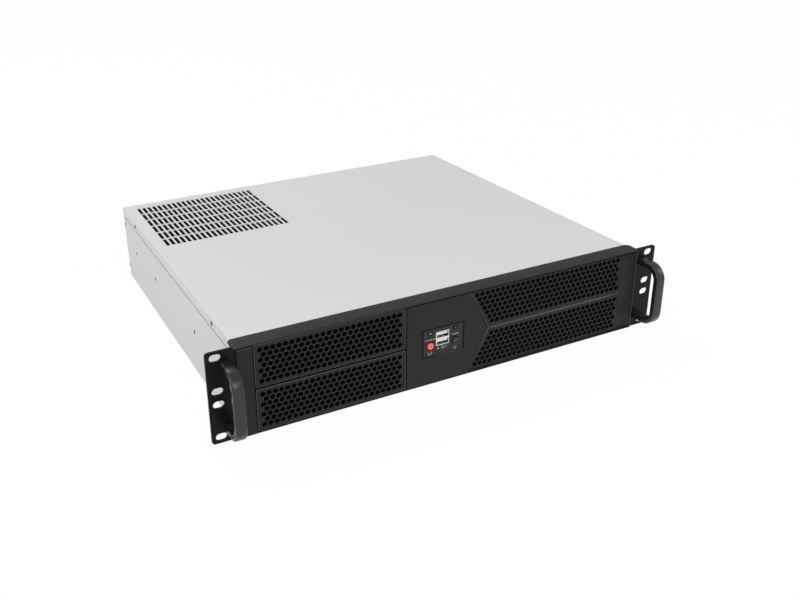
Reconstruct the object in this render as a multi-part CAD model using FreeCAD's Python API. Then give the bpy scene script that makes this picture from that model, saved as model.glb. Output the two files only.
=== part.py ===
"""Two-unit rackmount server case, empty, as an assembly of separate pieces.

The case is drawn with X to the right, Y to the back and Z up.  While it is
drawn, Y = 0 is the front face of the rack ears and Z = 0 is the underside of
the floor.  On export every piece moves by Y_SHIFT, so that the origin is the
bottom centre of the whole case.  All sizes are in millimetres.
"""
import FreeCAD, Part
import math
import os

os.makedirs("parts", exist_ok=True)
V = FreeCAD.Vector

# ---- rack size (a two-unit, nineteen-inch case) -------------------------
RACK_W = 482.6            # width over the ears
RACK_H = 88.1             # height of the ears
SLOT_SPAN = RACK_W - 17.5 # left column of rack slots to the right column
SLOT_EDGE = 5.95          # outer slots from the top and bottom edge
SLOT_INNER = RACK_H / 2.0 - 6.35  # inner slots from the top and bottom edge
SLOT_W = 10.3             # rack slot, end to end
SLOT_H = 7.0              # rack slot, height
EAR_T = 2.0               # thickness of the front plate and its ears
EAR_R = 3.0               # outer corners of the ears
MID_Z = RACK_H / 2.0

# ---- folded sheet body --------------------------------------------------
BODY_HW = RACK_W / 2.0 - 26.3     # half width of the body
DEPTH = 390.0             # ear face to rear face
SHEET = 1.0               # sheet thickness
BEND = 1.6                # outside radius of the folds that show
FIT = 0.1                 # clearance between parts that slip together
STEP_H = 0.6              # height of the inward step of the side walls
JOG = 0.6                 # inner side of the step, below its outer side
LEDGE_W = 10.0            # inward ledge along the top of the side walls
LEDGE_CUT = 0.6           # its outer corner, clear of the cover's fold
COVER_TOP = RACK_H - 0.1  # top face of the cover
SEAM_Z = COVER_TOP - 11.0 # lower edge of the cover's side flanges
STRIP_BACK = 15.0         # rear edge of the bezel's top strip
COVER_GAP = 0.3           # strip to cover
FOLD_W = 9.0              # front folds of the side walls

# ---- front bezel --------------------------------------------------------
BEZEL_HW = BODY_HW + 2.2  # half width of the bezel
BEZEL_Y = -2.0            # bezel front face
BEZEL_Z0 = 0.3            # bezel bottom edge
STRIP_T = 1.0             # thickness of the top strip
STRIP_CHAMFER = 3.0       # rear corners of the top strip
MESH_Y = -1.1             # front of the recessed meshes
MESH_T = 1.1              # mesh thickness

# ---- drive bays and their covers ----------------------------------------
BAY_X0 = 17.3 - BEZEL_HW  # bay covers, left edge
BAY_W = 146.9             # bay cover width
BAY_GAP = 1.6             # between the two bay covers
BAY_H = (RACK_H - BAY_GAP) / 2.0 - 1.85   # bay cover height
BAY_X1 = BAY_X0 + BAY_W
BAY_CLEAR = 0.4           # bay cover to bezel
SKIRT_IN = 0.6            # skirt set in from the cover's edge
SKIRT_T = 1.6             # skirt thickness
SKIRT_Y = 9.0             # rear edge of the skirt

PANEL_X = BAY_X1 + 39.5   # centre of the control insert
CHEV_X = PANEL_X + 28.1   # chevron groove, upper and lower ends

# ---- hexagon perforation ------------------------------------------------
HEX_PITCH = 11.35          # hole to hole along a row
HEX_AF = 9.6              # hole, across its flats
HEX_ROWS = 3              # rows in each band
BAND_OFF = (BAY_H + BAY_GAP) / 2.0 + 0.2  # band centre above and below mid height
BAY_MESH_X0 = BAY_X0 + 8.2        # first hole of the bays
BAY_MESH_X1 = BAY_X1 - 8.2        # last hole of the bays
GRILLE_LEFT = CHEV_X + 6.7        # left edge of the right grille's outermost row
GRILLE_X1 = BEZEL_HW - 26.2       # last hole of the right grille
MESH_EDGE = 5.9           # last hole's centre to the end of the mesh
MESH_RIM = 1.1            # plain rim of mesh beside the holes
GRILLE_TOP_X = GRILLE_LEFT + HEX_AF / 2.0
HEX_RISE = HEX_PITCH * math.sqrt(3.0) / 2.0

# ---- chevron groove left of the right grille --------------------------------
CHEV_TIP = CHEV_X + 19.4  # tip, at mid height
CHEV_H = MID_Z - 8.65     # ends above and below mid height
CHEV_W = 1.6
CHEV_D = 0.7

# ---- control insert ------------------------------------------------------
PANEL_W = 45.8
PANEL_H = 29.4
PANEL_CLEAR = 0.15
PANEL_BACK = 2.0          # rear face of the insert
PANEL_BODY_W = 40.0
PANEL_BODY_H = 25.0
BUTTON_DX = 13.6          # buttons and lamps each side of the centre
BUTTON_Z = MID_Z - 3.55
BUTTON_R = 3.3
BUTTON_GAP = 0.25         # button to its hole
BUTTON_SIDES = 16         # straight sides of the holes round the buttons
BUTTON_FRONT = -2.6
BUTTON_TRAVEL = 1.0
LAMP_Z = MID_Z + 9.15
LAMP_R = 1.5
USB_X = PANEL_X - 0.5
USB_Z = MID_Z + 2.25
USB_W = 14.4
USB_H = 14.4
BOARD_Y = 8.0             # front face of the little board
BOARD_T = 1.6

# ---- handles -------------------------------------------------------------
HANDLE_X0 = BEZEL_HW + 1.6        # inner side of the handles
HANDLE_W = 10.2
HANDLE_REACH = 30.5       # in front of the ears
HANDLE_H = RACK_H - 21.5
HANDLE_BAND = 6.2
HANDLE_R = 16.0           # outer corner radius
HANDLE_SCREW_R = 1.7      # screw holes in the ears and in the legs

# ---- inside --------------------------------------------------------------
CAGE_BACK = 178.0         # rear end of the drive cage
CAGE_SIDE = 0.8           # cage wall to drive
PSU_X0 = 5.0 - BODY_HW    # power supply space
PSU_W = 150.0
PSU_RIM = 10.5            # panel beside the power supply opening
PSU_D = 140.0
IO_W = 158.75             # input/output aperture
IO_X0 = BODY_HW - 11.25 - IO_W
IO_H = 44.45
IO_Z0 = 5.6
REAR_VENTS = 7            # slots in each of two rows above the aperture
CARD_PITCH = 20.32
CARD_X1 = IO_X0 - 16.5    # centre of the slot nearest to the aperture
CARD_W = 13.0             # slot opening width
CARD_COVER_W = 18.4       # slot cover width
CARD_ROOM = CARD_X1 - CARD_COVER_W / 2.0 - 1.0 - PSU_X0 - PSU_W
CARD_N = 1 + int(CARD_ROOM / CARD_PITCH)  # slots up to the power supply
CARD_Z0 = 10.0
CARD_Z1 = COVER_TOP - 18.0
POST_H = 6.5              # board standoffs
POST_AF = 5.0
BOARD_EDGE_X = BODY_HW - 8.0      # board edge, beside the right wall
FAN_SIZE = COVER_TOP - 8.0        # the largest fan that fits the height
FAN_HOLES = FAN_SIZE - 8.5        # between its screws
FAN_BORE = FAN_SIZE - 4.0
FAN_X = BODY_HW - 62.8    # centre of the right fan
FAN_STEP = FAN_SIZE + 4.0 # one fan to the next
FAN_SIDES = 24            # straight sides round each air opening
FAN_Y = 18.0

Y_SHIFT = -(DEPTH - HANDLE_REACH) / 2.0


def box(x0, y0, z0, x1, y1, z1):
    """Block between two corners."""
    return Part.makeBox(x1 - x0, y1 - y0, z1 - z0, V(x0, y0, z0))


def cyl(r, h, p, d):
    """Cylinder of radius r and length h from point p along d."""
    return Part.makeCylinder(r, h, V(*p), V(*d))


def solid_of(faces):
    """Closed solid from its faces, turned so that its volume is positive."""
    out = Part.makeSolid(Part.makeShell(faces))
    if out.Volume < 0:
        out.reverse()
    return out


def pin(r, h, p, d, sides=6, r_end=None):
    """Flat-sided pin or taper, r to its flats, of length h from p along d."""
    axis = V(*d)
    side = V(1, 0, 0) if abs(axis.z) > 0.5 else V(0, 0, 1)
    other = axis.cross(side)
    angles = [2 * math.pi * (k + 0.5) / sides for k in range(sides + 1)]
    rings = []
    for along, radius in ((0.0, r), (h, r if r_end is None else r_end)):
        c = radius / math.cos(math.pi / sides)
        rings.append([V(*p) + axis * along + side * (c * math.cos(a)) + other * (c * math.sin(a)) for a in angles])
    low, high = rings
    faces = [Part.Face(Part.makePolygon(ring)) for ring in rings]
    for k in range(sides):
        faces.append(Part.Face(Part.makePolygon([low[k], low[k + 1], high[k + 1], high[k], low[k]])))
    return solid_of(faces)


def wire_xz(pts, y):
    """Closed wire through (x, z) points in the plane at y."""
    ring = [V(a, y, b) for a, b in pts]
    return Part.makePolygon(ring + ring[:1])


def rect(x0, z0, x1, z1):
    """Corners of a rectangle."""
    return [(x0, z0), (x1, z0), (x1, z1), (x0, z1)]


def plate_xz(outer, holes, y0, y1):
    """Upright plate from y0 to y1 with holes given as (x, z) outlines."""
    return plate_wires(wire_xz(outer, y0), [wire_xz(h, y0) for h in holes], y0, y1)


def plate_wires(outer, holes, y0, y1):
    """Upright plate whose outlines are ready-made wires at y0."""
    face = Part.makeFace([outer] + holes, "Part::FaceMakerBullseye")
    return face.extrude(V(0, y1 - y0, 0))


def prism_y(pts, y0, y1):
    """Section given in (x, z), extruded along Y."""
    return plate_xz(pts, [], y0, y1)


def prism_x(pts, x0, x1):
    """Section given in (y, z), extruded along X."""
    ring = [V(x0, a, b) for a, b in pts]
    face = Part.Face(Part.makePolygon(ring + ring[:1]))
    return face.extrude(V(x1 - x0, 0, 0))


def prism_z(pts, z0, z1):
    """Outline given in (x, y), extruded along Z."""
    ring = [V(a, b, z0) for a, b in pts]
    face = Part.Face(Part.makePolygon(ring + ring[:1]))
    return face.extrude(V(0, 0, z1 - z0))


def hexagon(x, z, af):
    """Corners of a hexagon with two corners up and down."""
    r = af / math.sqrt(3.0)
    angles = [math.radians(30 + 60 * k) for k in range(6)]
    return [(x + r * math.cos(a), z + r * math.sin(a)) for a in angles]


def hex_band(first, last, z_mid):
    """Staggered rows of hexagons; first(row) gives a row's first centre."""
    out = []
    for row in range(HEX_ROWS):
        z = z_mid + (HEX_ROWS - 1 - 2 * row) / 2.0 * HEX_RISE
        x = first(row)
        while x <= last + 0.01:
            out.append(hexagon(x, z, HEX_AF))
            x += HEX_PITCH
    return out


def obround(x, z, w, h, y):
    """Wire of a flat slot, w long along X and h high."""
    r = h / 2.0
    d = w / 2.0 - r
    a, b = V(x - d, y, z + r), V(x + d, y, z + r)
    c, e = V(x + d, y, z - r), V(x - d, y, z - r)
    right = Part.Arc(b, V(x + d + r, y, z), c).toShape()
    left = Part.Arc(e, V(x - d - r, y, z), a).toShape()
    return Part.Wire([Part.makeLine(a, b), right, Part.makeLine(c, e), left])


def mirrored(shape):
    """The same shape on the other side of the middle plane."""
    return shape.mirror(V(0, 0, 0), V(1, 0, 0))


def both_sides(shape):
    """Shape and its mirror image in one list."""
    return [shape, mirrored(shape)]


def fused(shapes):
    """One clean solid."""
    out = shapes[0].multiFuse(shapes[1:]) if len(shapes) > 1 else shapes[0]
    return out.removeSplitter()


def cut(shape, tools):
    """Shape without the tools."""
    return shape.cut(Part.makeCompound(tools)) if tools else shape


def save(name, shape):
    """Export one piece in the final frame."""
    piece = shape.copy()
    piece.translate(V(0, Y_SHIFT, 0))
    piece.exportStep("parts/" + name + ".step")


# ---- shared seats ---------------------------------------------------------
COVER_UNDER = COVER_TOP - SHEET
WALL_IN = BODY_HW - SHEET                   # inner face of the side walls
STEP_OUT = WALL_IN - FIT                    # stepped-in wall, outer face
STEP_IN = STEP_OUT - SHEET
LEDGE_TOP = COVER_UNDER - FIT
LEDGE_IN = STEP_OUT - LEDGE_W
STEP_Z = SEAM_Z - STEP_H - FIT
REAR_IN = DEPTH - SHEET
SIDE_HOLES = [(DEPTH - back, MID_Z + 1.95, 2.0) for back in (269.0, 129.0, 48.0)]
RIVETS = [(DEPTH - 5.0, COVER_TOP - 19.5), (DEPTH - 5.0, 16.4)]
RIVET_R = 1.6
COVER_SCREWS = [(61.0, COVER_TOP - 5.5), (DEPTH - 57.0, COVER_TOP - 5.5)]
SCREW_R = 1.45
LOW_BAY_Z = MID_Z - BAY_GAP / 2.0 - BAY_H
TOP_BAY_Z = MID_Z + BAY_GAP / 2.0
PANEL_Z = MID_Z
PLATE_TOP = COVER_TOP + 0.1 - STRIP_T - FIT  # front plate under the strip


# ---- folded tray ------------------------------------------------------------
def wall_section():
    """Right half of the tray's section, floor to ledge."""
    b = BEND
    s = SHEET
    arc_out = [(BODY_HW - b + b * math.sin(a), b - b * math.cos(a))
               for a in [math.radians(18 * k) for k in range(1, 5)]]
    arc_in = [(BODY_HW - b + (b - s) * math.sin(a), b - (b - s) * math.cos(a))
              for a in [math.radians(90 - 30 * k) for k in range(1, 3)]]
    pts = [(0, 0), (BODY_HW - b, 0)] + arc_out + [(BODY_HW, b)]
    pts += [(BODY_HW, STEP_Z), (STEP_OUT, STEP_Z + STEP_H), (STEP_OUT, LEDGE_TOP - LEDGE_CUT)]
    pts += [(STEP_OUT - LEDGE_CUT, LEDGE_TOP)]
    pts += [(LEDGE_IN, LEDGE_TOP), (LEDGE_IN, LEDGE_TOP - s), (STEP_IN, LEDGE_TOP - s)]
    pts += [(STEP_IN, STEP_Z + STEP_H - JOG), (WALL_IN, STEP_Z - JOG), (WALL_IN, b)]
    pts += arc_in + [(BODY_HW - b, s), (0, s)]
    return pts


half = wall_section()
ring = half[1:-1]
section = ring + [(-x, z) for x, z in reversed(ring)]
tray = prism_y(section, EAR_T, DEPTH)
fold = box(STEP_IN - FOLD_W, EAR_T, 6, STEP_IN + 0.01, EAR_T + SHEET, STEP_Z - 2.3)
fold = fold.fuse(box(STEP_IN - 0.01, EAR_T, 6, WALL_IN + 0.01, EAR_T + SHEET, STEP_Z - 2.3))
tray = tray.multiFuse(both_sides(fold))
cuts = []
for y, z, r in SIDE_HOLES:
    cuts += both_sides(pin(r, 4, (BODY_HW - 3, y, z), (1, 0, 0)))
for y, z in RIVETS:
    cuts += both_sides(pin(RIVET_R, 4, (BODY_HW - 3, y, z), (1, 0, 0)))
for y, z in COVER_SCREWS:
    cuts += both_sides(pin(SCREW_R + 0.05, 6, (BODY_HW - 5, y, z), (1, 0, 0)))
cuts += both_sides(box(LEDGE_IN - 1, REAR_IN - FIT, LEDGE_TOP - 2, STEP_IN, DEPTH + 1, COVER_TOP))
tray = cut(tray, cuts).removeSplitter()
save("chassis_tray", tray)

# ---- top cover with its slotted vent field -----------------------------------
VENT_X0, VENT_X1, VENT_N = 14.0 - BODY_HW, 152.0 - BODY_HW, 17   # slot centres
VENT_Y0, VENT_Y1, VENT_ROWS = DEPTH - 144.5, DEPTH - 13.5, 4
VENT_LEN = 30.0
VENT_W = 3.6


def cover_section():
    """Section of the cover: a flat top with two short side flanges."""
    a, b, s = BODY_HW, BEND, SHEET
    top, low = COVER_TOP, SEAM_Z
    out = [(a - b + b * math.cos(t), top - b + b * math.sin(t))
           for t in [math.radians(18 * k) for k in range(0, 6)]]
    inn = [(a - b + (b - s) * math.cos(t), top - b + (b - s) * math.sin(t))
           for t in [math.radians(90 - 45 * k) for k in range(0, 3)]]
    right = [(a, low)] + out
    inner = inn + [(a - s, low)]
    return right + [(-x, z) for x, z in reversed(right)] + \
        [(-x, z) for x, z in reversed(inner)] + inner


cover = prism_y(cover_section(), STRIP_BACK + COVER_GAP, DEPTH)
vents = []
for row in range(VENT_ROWS):
    y0 = VENT_Y0 + (VENT_Y1 - VENT_Y0 - VENT_LEN) * row / (VENT_ROWS - 1)
    for k in range(VENT_N):
        x = VENT_X0 + (VENT_X1 - VENT_X0) * k / (VENT_N - 1)
        vents.append(box(x - VENT_W / 2, y0, COVER_UNDER - 1, x + VENT_W / 2, y0 + VENT_LEN, COVER_TOP + 1))
cuts = []
for y, z in COVER_SCREWS:
    sink = SCREW_R + FIT
    cuts += both_sides(pin(sink - SHEET, 3 * SHEET, (BODY_HW - 2 * SHEET, y, z), (1, 0, 0), r_end=sink + 2 * SHEET))
cover = cut(cover, vents + cuts).removeSplitter()
save("top_cover", cover)

# ---- screws of the cover ------------------------------------------------------
screws = []
for y, z in COVER_SCREWS:
    head = pin(SCREW_R, SHEET - 0.05, (BODY_HW - SHEET, y, z), (1, 0, 0), r_end=SCREW_R + SHEET - 0.05)
    shank = pin(SCREW_R - 0.05, 4, (BODY_HW - SHEET - 4, y, z), (1, 0, 0))
    screws += both_sides(head.fuse(shank).removeSplitter())
save("cover_screws", Part.makeCompound(screws))

# ---- rivets at the rear corners ------------------------------------------------
rivets = []
for y, z in RIVETS:
    rivets += both_sides(pin(RIVET_R - 0.05, 2.6, (BODY_HW - 2.5, y, z), (1, 0, 0)))
save("corner_rivets", Part.makeCompound(rivets))

# ---- rear panel -----------------------------------------------------------------
PSU_OPEN = rect(PSU_X0 + PSU_RIM, 5.5, PSU_X0 + PSU_W - PSU_RIM, COVER_TOP - 5.5)
PSU_SCREWS = [(6, COVER_TOP - 8), (PSU_W - 6, COVER_TOP - 8)]
PANEL_CUT = 0.8           # lower corners, clear of the floor's folds
panel_edge = WALL_IN - FIT
right = [(panel_edge - PANEL_CUT, SHEET), (panel_edge, SHEET + PANEL_CUT)]
right += [(panel_edge, STEP_Z - JOG - 0.2), (STEP_IN - FIT, STEP_Z + STEP_H - JOG - 0.2)]
right += [(STEP_IN - FIT, LEDGE_TOP - SHEET - FIT), (LEDGE_IN - 0.4, LEDGE_TOP - SHEET - FIT)]
right += [(LEDGE_IN - 0.4, COVER_UNDER)]
outline = right + [(-x, z) for x, z in reversed(right)]
holes = [PSU_OPEN[:]]
holes.append(rect(IO_X0, IO_Z0, IO_X0 + IO_W, IO_Z0 + IO_H))
card_x = [CARD_X1 - CARD_PITCH * k for k in range(CARD_N)]
for x in card_x:
    holes.append(rect(x - CARD_W / 2, CARD_Z0, x + CARD_W / 2, CARD_Z1))
rear = plate_xz(outline, holes, REAR_IN, DEPTH)
flange = box(panel_edge - SHEET, REAR_IN - 9, 5, panel_edge, REAR_IN + 0.01, STEP_Z - 1.3)
rear = rear.multiFuse(both_sides(flange) +
                      [box(0.9 - LEDGE_IN, REAR_IN - 8, COVER_UNDER - SHEET, LEDGE_IN - 0.9, REAR_IN + 0.01, COVER_UNDER)])
cuts = []
for y, z in RIVETS:
    cuts += both_sides(pin(RIVET_R, 4, (BODY_HW - 4, y, z), (1, 0, 0)))
for dx, dz in PSU_SCREWS:
    cuts.append(cyl(1.9, 4, (PSU_X0 + dx, REAR_IN - 1, SHEET + dz), (0, 1, 0)))
for k in range(REAR_VENTS):
    x = IO_X0 + IO_W * (k + 0.5) / REAR_VENTS
    for z in (COVER_TOP - 28.0, COVER_TOP - 16.0):
        cuts.append(box(x - 6.5, REAR_IN - 1, z - 2.0, x + 6.5, DEPTH + 1, z + 2.0))
rear = cut(rear, cuts).removeSplitter()
save("rear_panel", rear)

# ---- expansion slot covers, their clamp and its screws -----------------------------
CARD_COVER_Z0 = 5.0
CARD_COVER_Z1 = COVER_TOP - 12.0
TAB = 10.0
covers = []
for x in card_x:
    blade = box(x - CARD_COVER_W / 2, REAR_IN - 0.9, CARD_COVER_Z0, x + CARD_COVER_W / 2, REAR_IN, CARD_COVER_Z1)
    tab = box(x - CARD_COVER_W / 2, REAR_IN - TAB, CARD_COVER_Z1, x + CARD_COVER_W / 2, REAR_IN, CARD_COVER_Z1 + 0.9)
    hole = box(x - 1.8, REAR_IN - 7.4, CARD_COVER_Z1 - 1, x + CARD_COVER_W, REAR_IN - 3.6, CARD_COVER_Z1 + 2)
    covers.append(blade.fuse(tab).cut(hole).removeSplitter())
save("slot_covers", Part.makeCompound(covers))
clamp_x0 = card_x[-1] - CARD_COVER_W / 2
clamp_x1 = card_x[0] + CARD_COVER_W / 2
clamp_z = CARD_COVER_Z1 + 0.9
clamp = box(clamp_x0, REAR_IN - TAB, clamp_z, clamp_x1, REAR_IN, clamp_z + 1.2)
clamp = clamp.fuse(box(clamp_x0, REAR_IN - 1.2, clamp_z, clamp_x1, REAR_IN, clamp_z + 6.0))
holes = [pin(1.8, 4, (x, REAR_IN - 5.5, clamp_z - 1), (0, 0, 1)) for x in card_x]
save("slot_clamp", cut(clamp, holes).removeSplitter())
screws = []
for x in card_x:
    head = pin(3.0, 1.8, (x, REAR_IN - 5.5, clamp_z + 1.2), (0, 0, 1))
    shank = pin(1.7, 5, (x, REAR_IN - 5.5, clamp_z + 1.3), (0, 0, -1))
    screws.append(head.fuse(shank).removeSplitter())
save("slot_screws", Part.makeCompound(screws))

# ---- front plate with the two ears ------------------------------------------------
hw, r = RACK_W / 2.0, EAR_R
NOTCH = BEZEL_HW + 0.6
pts = []
for cx, cz, a0 in ((hw - r, r, -90), (hw - r, RACK_H - r, 0)):
    pts += [(cx + r * math.cos(math.radians(a0 + 18 * k)), cz + r * math.sin(math.radians(a0 + 18 * k)))
            for k in range(6)]
pts += [(NOTCH, RACK_H), (NOTCH, PLATE_TOP)]
outline = wire_xz(pts + [(-x, z) for x, z in reversed(pts)], 0)
slot_z = [SLOT_EDGE, SLOT_INNER, RACK_H - SLOT_INNER, RACK_H - SLOT_EDGE]
holes = []
for sx in (-1, 1):
    for z in slot_z:
        holes.append(obround(sx * SLOT_SPAN / 2.0, z, SLOT_W, SLOT_H, 0))
holes.append(wire_xz(rect(BAY_X0 + 0.2, LOW_BAY_Z + 0.3, BAY_X1 - 0.2, TOP_BAY_Z + BAY_H - 0.3), 0))
half_w, half_h = PANEL_BODY_W / 2 + 0.2, PANEL_BODY_H / 2 + 0.2
holes.append(wire_xz(rect(PANEL_X - half_w, PANEL_Z - half_h, PANEL_X + half_w, PANEL_Z + half_h), 0))
band_h = (HEX_ROWS - 1) / 2.0 * HEX_RISE + HEX_AF / math.sqrt(3.0)
edge_right = GRILLE_X1 + MESH_EDGE


def grille_outline(sign, grow):
    """Outline of one mesh field right of the chevron; sign +1 is the upper.

    The slanted side runs along the hexagon grid, half a pitch across for
    each row down.
    """
    low = BAND_OFF - band_h - MESH_RIM - grow
    high = BAND_OFF + band_h + MESH_RIM + grow
    row = BAND_OFF + (HEX_ROWS - 1) / 2.0 * HEX_RISE
    slope = math.tan(math.radians(30))
    start = GRILLE_TOP_X - HEX_AF / 2.0 - HEX_AF / 6.0 - (MESH_RIM + grow) / math.cos(math.radians(30))
    pts = [(start + (row - low) * slope, MID_Z + sign * low), (edge_right + grow, MID_Z + sign * low)]
    pts += [(edge_right + grow, MID_Z + sign * high), (start + (row - high) * slope, MID_Z + sign * high)]
    return pts if sign > 0 else pts[::-1]


for sign in (1, -1):
    holes.append(wire_xz(grille_outline(sign, -1.2), 0))
handle_mid = MID_Z
leg_off = HANDLE_H / 2.0 - HANDLE_BAND / 2.0
handle_x = HANDLE_X0 + HANDLE_W / 2.0
front = plate_wires(outline, holes, 0, EAR_T)
cuts = []
for dz in (-leg_off, leg_off):
    cuts += both_sides(pin(HANDLE_SCREW_R, 6, (handle_x, -2, handle_mid + dz), (0, 1, 0)))
front = cut(front, cuts).removeSplitter()
save("front_plate", front)

# ---- front bezel: strip, pillars, centre panel, two meshes and rib --------------------
face_top = COVER_TOP + 0.1 - STRIP_T
bay_hole = rect(BAY_X0 - BAY_CLEAR, LOW_BAY_Z - BAY_CLEAR, BAY_X1 + BAY_CLEAR, TOP_BAY_Z + BAY_H + BAY_CLEAR)
pw, ph = PANEL_W / 2.0, PANEL_H / 2.0
panel_hole = rect(PANEL_X - pw, PANEL_Z - ph, PANEL_X + pw, PANEL_Z + ph)
slab = plate_xz(rect(-BEZEL_HW, BEZEL_Z0, BEZEL_HW, face_top),
                [bay_hole, panel_hole, grille_outline(1, 0), grille_outline(-1, 0)], BEZEL_Y, 0)
c = STRIP_CHAMFER
strip = prism_z([(-BEZEL_HW, BEZEL_Y), (BEZEL_HW, BEZEL_Y), (BEZEL_HW, STRIP_BACK - c),
                 (BEZEL_HW - c, STRIP_BACK), (c - BEZEL_HW, STRIP_BACK), (-BEZEL_HW, STRIP_BACK - c)],
                face_top, face_top + STRIP_T)
meshes = []
for sign in (1, -1):

    def first(row, sign=sign):
        """First centre of a row: the field's slanted side follows the hexagon grid."""
        return GRILLE_TOP_X + HEX_PITCH / 2.0 * (row if sign > 0 else HEX_ROWS - 1 - row)

    band = hex_band(first, GRILLE_X1, MID_Z + sign * BAND_OFF)
    meshes.append(plate_xz(grille_outline(sign, 0.0), band, MESH_Y, MESH_Y + MESH_T))
bezel = slab.multiFuse([strip] + meshes)
chevron = [(CHEV_X, MID_Z + CHEV_H), (CHEV_TIP, MID_Z), (CHEV_X, MID_Z - CHEV_H)]
g = CHEV_W
groove = chevron + [(x - g, z) for x, z in reversed(chevron)]
bezel = bezel.cut(prism_y(groove, BEZEL_Y - 1, BEZEL_Y + CHEV_D))
bezel = bezel.cut(box(BAY_X1 + 2.0, BEZEL_Y - 1, 1.4, BAY_X1 + 2.6, BEZEL_Y + 0.5, face_top - 1.0))
save("front_bezel", bezel.removeSplitter())


# ---- bay covers ------------------------------------------------------------------------
def bay_cover(z0):
    """Perforated drive bay cover: mesh face, border frame and rear skirt."""
    x0, x1, z1 = BAY_X0, BAY_X1, z0 + BAY_H
    mid = z0 + BAY_H / 2.0
    b = 2.4
    even = HEX_PITCH / 2.0
    band = hex_band(lambda row: BAY_MESH_X0 + even * (row % 2), BAY_MESH_X1 + 1.0, mid)
    mesh = plate_xz(rect(x0 + 1, z0 + 1, x1 - 1, z1 - 1), band, MESH_Y, MESH_Y + MESH_T)
    frame = plate_xz(rect(x0, z0, x1, z1), [rect(x0 + b, z0 + b, x1 - b, z1 - b)], BEZEL_Y, 0)
    i, t = SKIRT_IN, SKIRT_T
    skirt = plate_xz(rect(x0 + i, z0 + i, x1 - i, z1 - i),
                     [rect(x0 + i + t, z0 + i + t, x1 - i - t, z1 - i - t)], MESH_Y, SKIRT_Y)
    clips = []
    for x in (x0 + 30, x1 - 30):
        clips.append(box(x - 6, SKIRT_Y - 1, z0 + i, x + 6, SKIRT_Y + 8, z0 + i + 1.2))
        clips.append(box(x - 6, SKIRT_Y - 1, z1 - i - 1.2, x + 6, SKIRT_Y + 8, z1 - i))
    return fused([frame, mesh, skirt] + clips)


save("upper_bay_cover", bay_cover(TOP_BAY_Z))
save("lower_bay_cover", bay_cover(LOW_BAY_Z))


# ---- handles ------------------------------------------------------------------------------
def d_profile(reach, height, radius, steps):
    """Half-rounded outline in (y, z) from the ear forward and back."""
    lo, hi = handle_mid - height / 2.0, handle_mid + height / 2.0
    pts = [(0, lo)]
    for k in range(steps + 1):
        a = math.radians(90.0 * k / steps)
        pts.append((-reach + radius - radius * math.sin(a), lo + radius - radius * math.cos(a)))
    for k in range(steps + 1):
        a = math.radians(90.0 * k / steps)
        pts.append((-reach + radius - radius * math.cos(a), hi - radius + radius * math.sin(a)))
    return pts + [(0, hi)]


outer = d_profile(HANDLE_REACH, HANDLE_H, HANDLE_R, 8)
inner = d_profile(HANDLE_REACH - HANDLE_BAND, HANDLE_H - 2 * HANDLE_BAND, HANDLE_R - HANDLE_BAND, 6)
bow = prism_x(outer + inner[::-1], HANDLE_X0, HANDLE_X0 + HANDLE_W)
drill = [pin(HANDLE_SCREW_R, 8, (handle_x, 0, handle_mid + dz), (0, -1, 0)) for dz in (-leg_off, leg_off)]
bow = cut(bow, drill)
save("right_handle", bow)
save("left_handle", mirrored(bow))
screws = []
for dz in (-leg_off, leg_off):
    head = pin(3.2, 2.0, (handle_x, EAR_T, handle_mid + dz), (0, 1, 0))
    shank = pin(HANDLE_SCREW_R - 0.1, EAR_T + 6, (handle_x, EAR_T + 0.1, handle_mid + dz), (0, -1, 0))
    screws += both_sides(head.fuse(shank).removeSplitter())
save("handle_screws", Part.makeCompound(screws))

# ---- control insert -------------------------------------------------------------------------
pc = PANEL_CLEAR
shape = box(PANEL_X - pw + pc, -1.0, PANEL_Z - ph + pc, PANEL_X + pw - pc, 0, PANEL_Z + ph - pc)
bw, bh = PANEL_BODY_W / 2.0, PANEL_BODY_H / 2.0
shape = shape.fuse(box(PANEL_X - bw, 0, PANEL_Z - bh, PANEL_X + bw, PANEL_BACK, PANEL_Z + bh))
post_x = [PANEL_X - bw + 2.6, PANEL_X + bw - 2.6]
for x in post_x:
    shape = shape.fuse(box(x - 1.8, PANEL_BACK - 0.01, PANEL_Z + 1.7, x + 1.8, BOARD_Y, PANEL_Z + 5.3))
cuts = [box(USB_X - USB_W / 2 - 0.1, -3, USB_Z - USB_H / 2 - 0.1, USB_X + USB_W / 2 + 0.1, 5, USB_Z + USB_H / 2 + 0.1)]
button_x = [PANEL_X - BUTTON_DX, PANEL_X + BUTTON_DX]
for x in button_x:
    cuts.append(pin(BUTTON_R + BUTTON_GAP, 5, (x, -2, BUTTON_Z), (0, 1, 0), BUTTON_SIDES))
    cuts.append(pin(LAMP_R + 0.1, 5, (x, -2, LAMP_Z), (0, 1, 0)))
shape = cut(shape, cuts).removeSplitter()
save("control_plate", shape)


def button(x):
    """Round button: cap and square retaining flange behind the insert."""
    stem = cyl(BUTTON_R, PANEL_BACK + 0.2 - BUTTON_FRONT, (x, BUTTON_FRONT, BUTTON_Z), (0, 1, 0))
    f, y = BUTTON_R + 1.0, PANEL_BACK + 0.15
    return fused([stem, box(x - f, y, BUTTON_Z - f, x + f, y + 0.8, BUTTON_Z + f)])


save("power_button", button(button_x[0]))
save("reset_button", button(button_x[1]))


def lamp(x):
    """Small lamp, blunt in front, on its spacer."""
    dome = pin(LAMP_R, 0.5, (x, -1.3, LAMP_Z), (0, -1, 0), r_end=LAMP_R - 0.6)
    stem = pin(LAMP_R, PANEL_BACK + 1.4, (x, -1.3, LAMP_Z), (0, 1, 0))
    f = LAMP_R + 0.5
    spacer = box(x - f, PANEL_BACK, LAMP_Z - f, x + f, BOARD_Y, LAMP_Z + f)
    return fused([dome, stem, spacer])


save("power_led", lamp(button_x[0]))
save("drive_led", lamp(button_x[1]))

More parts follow.
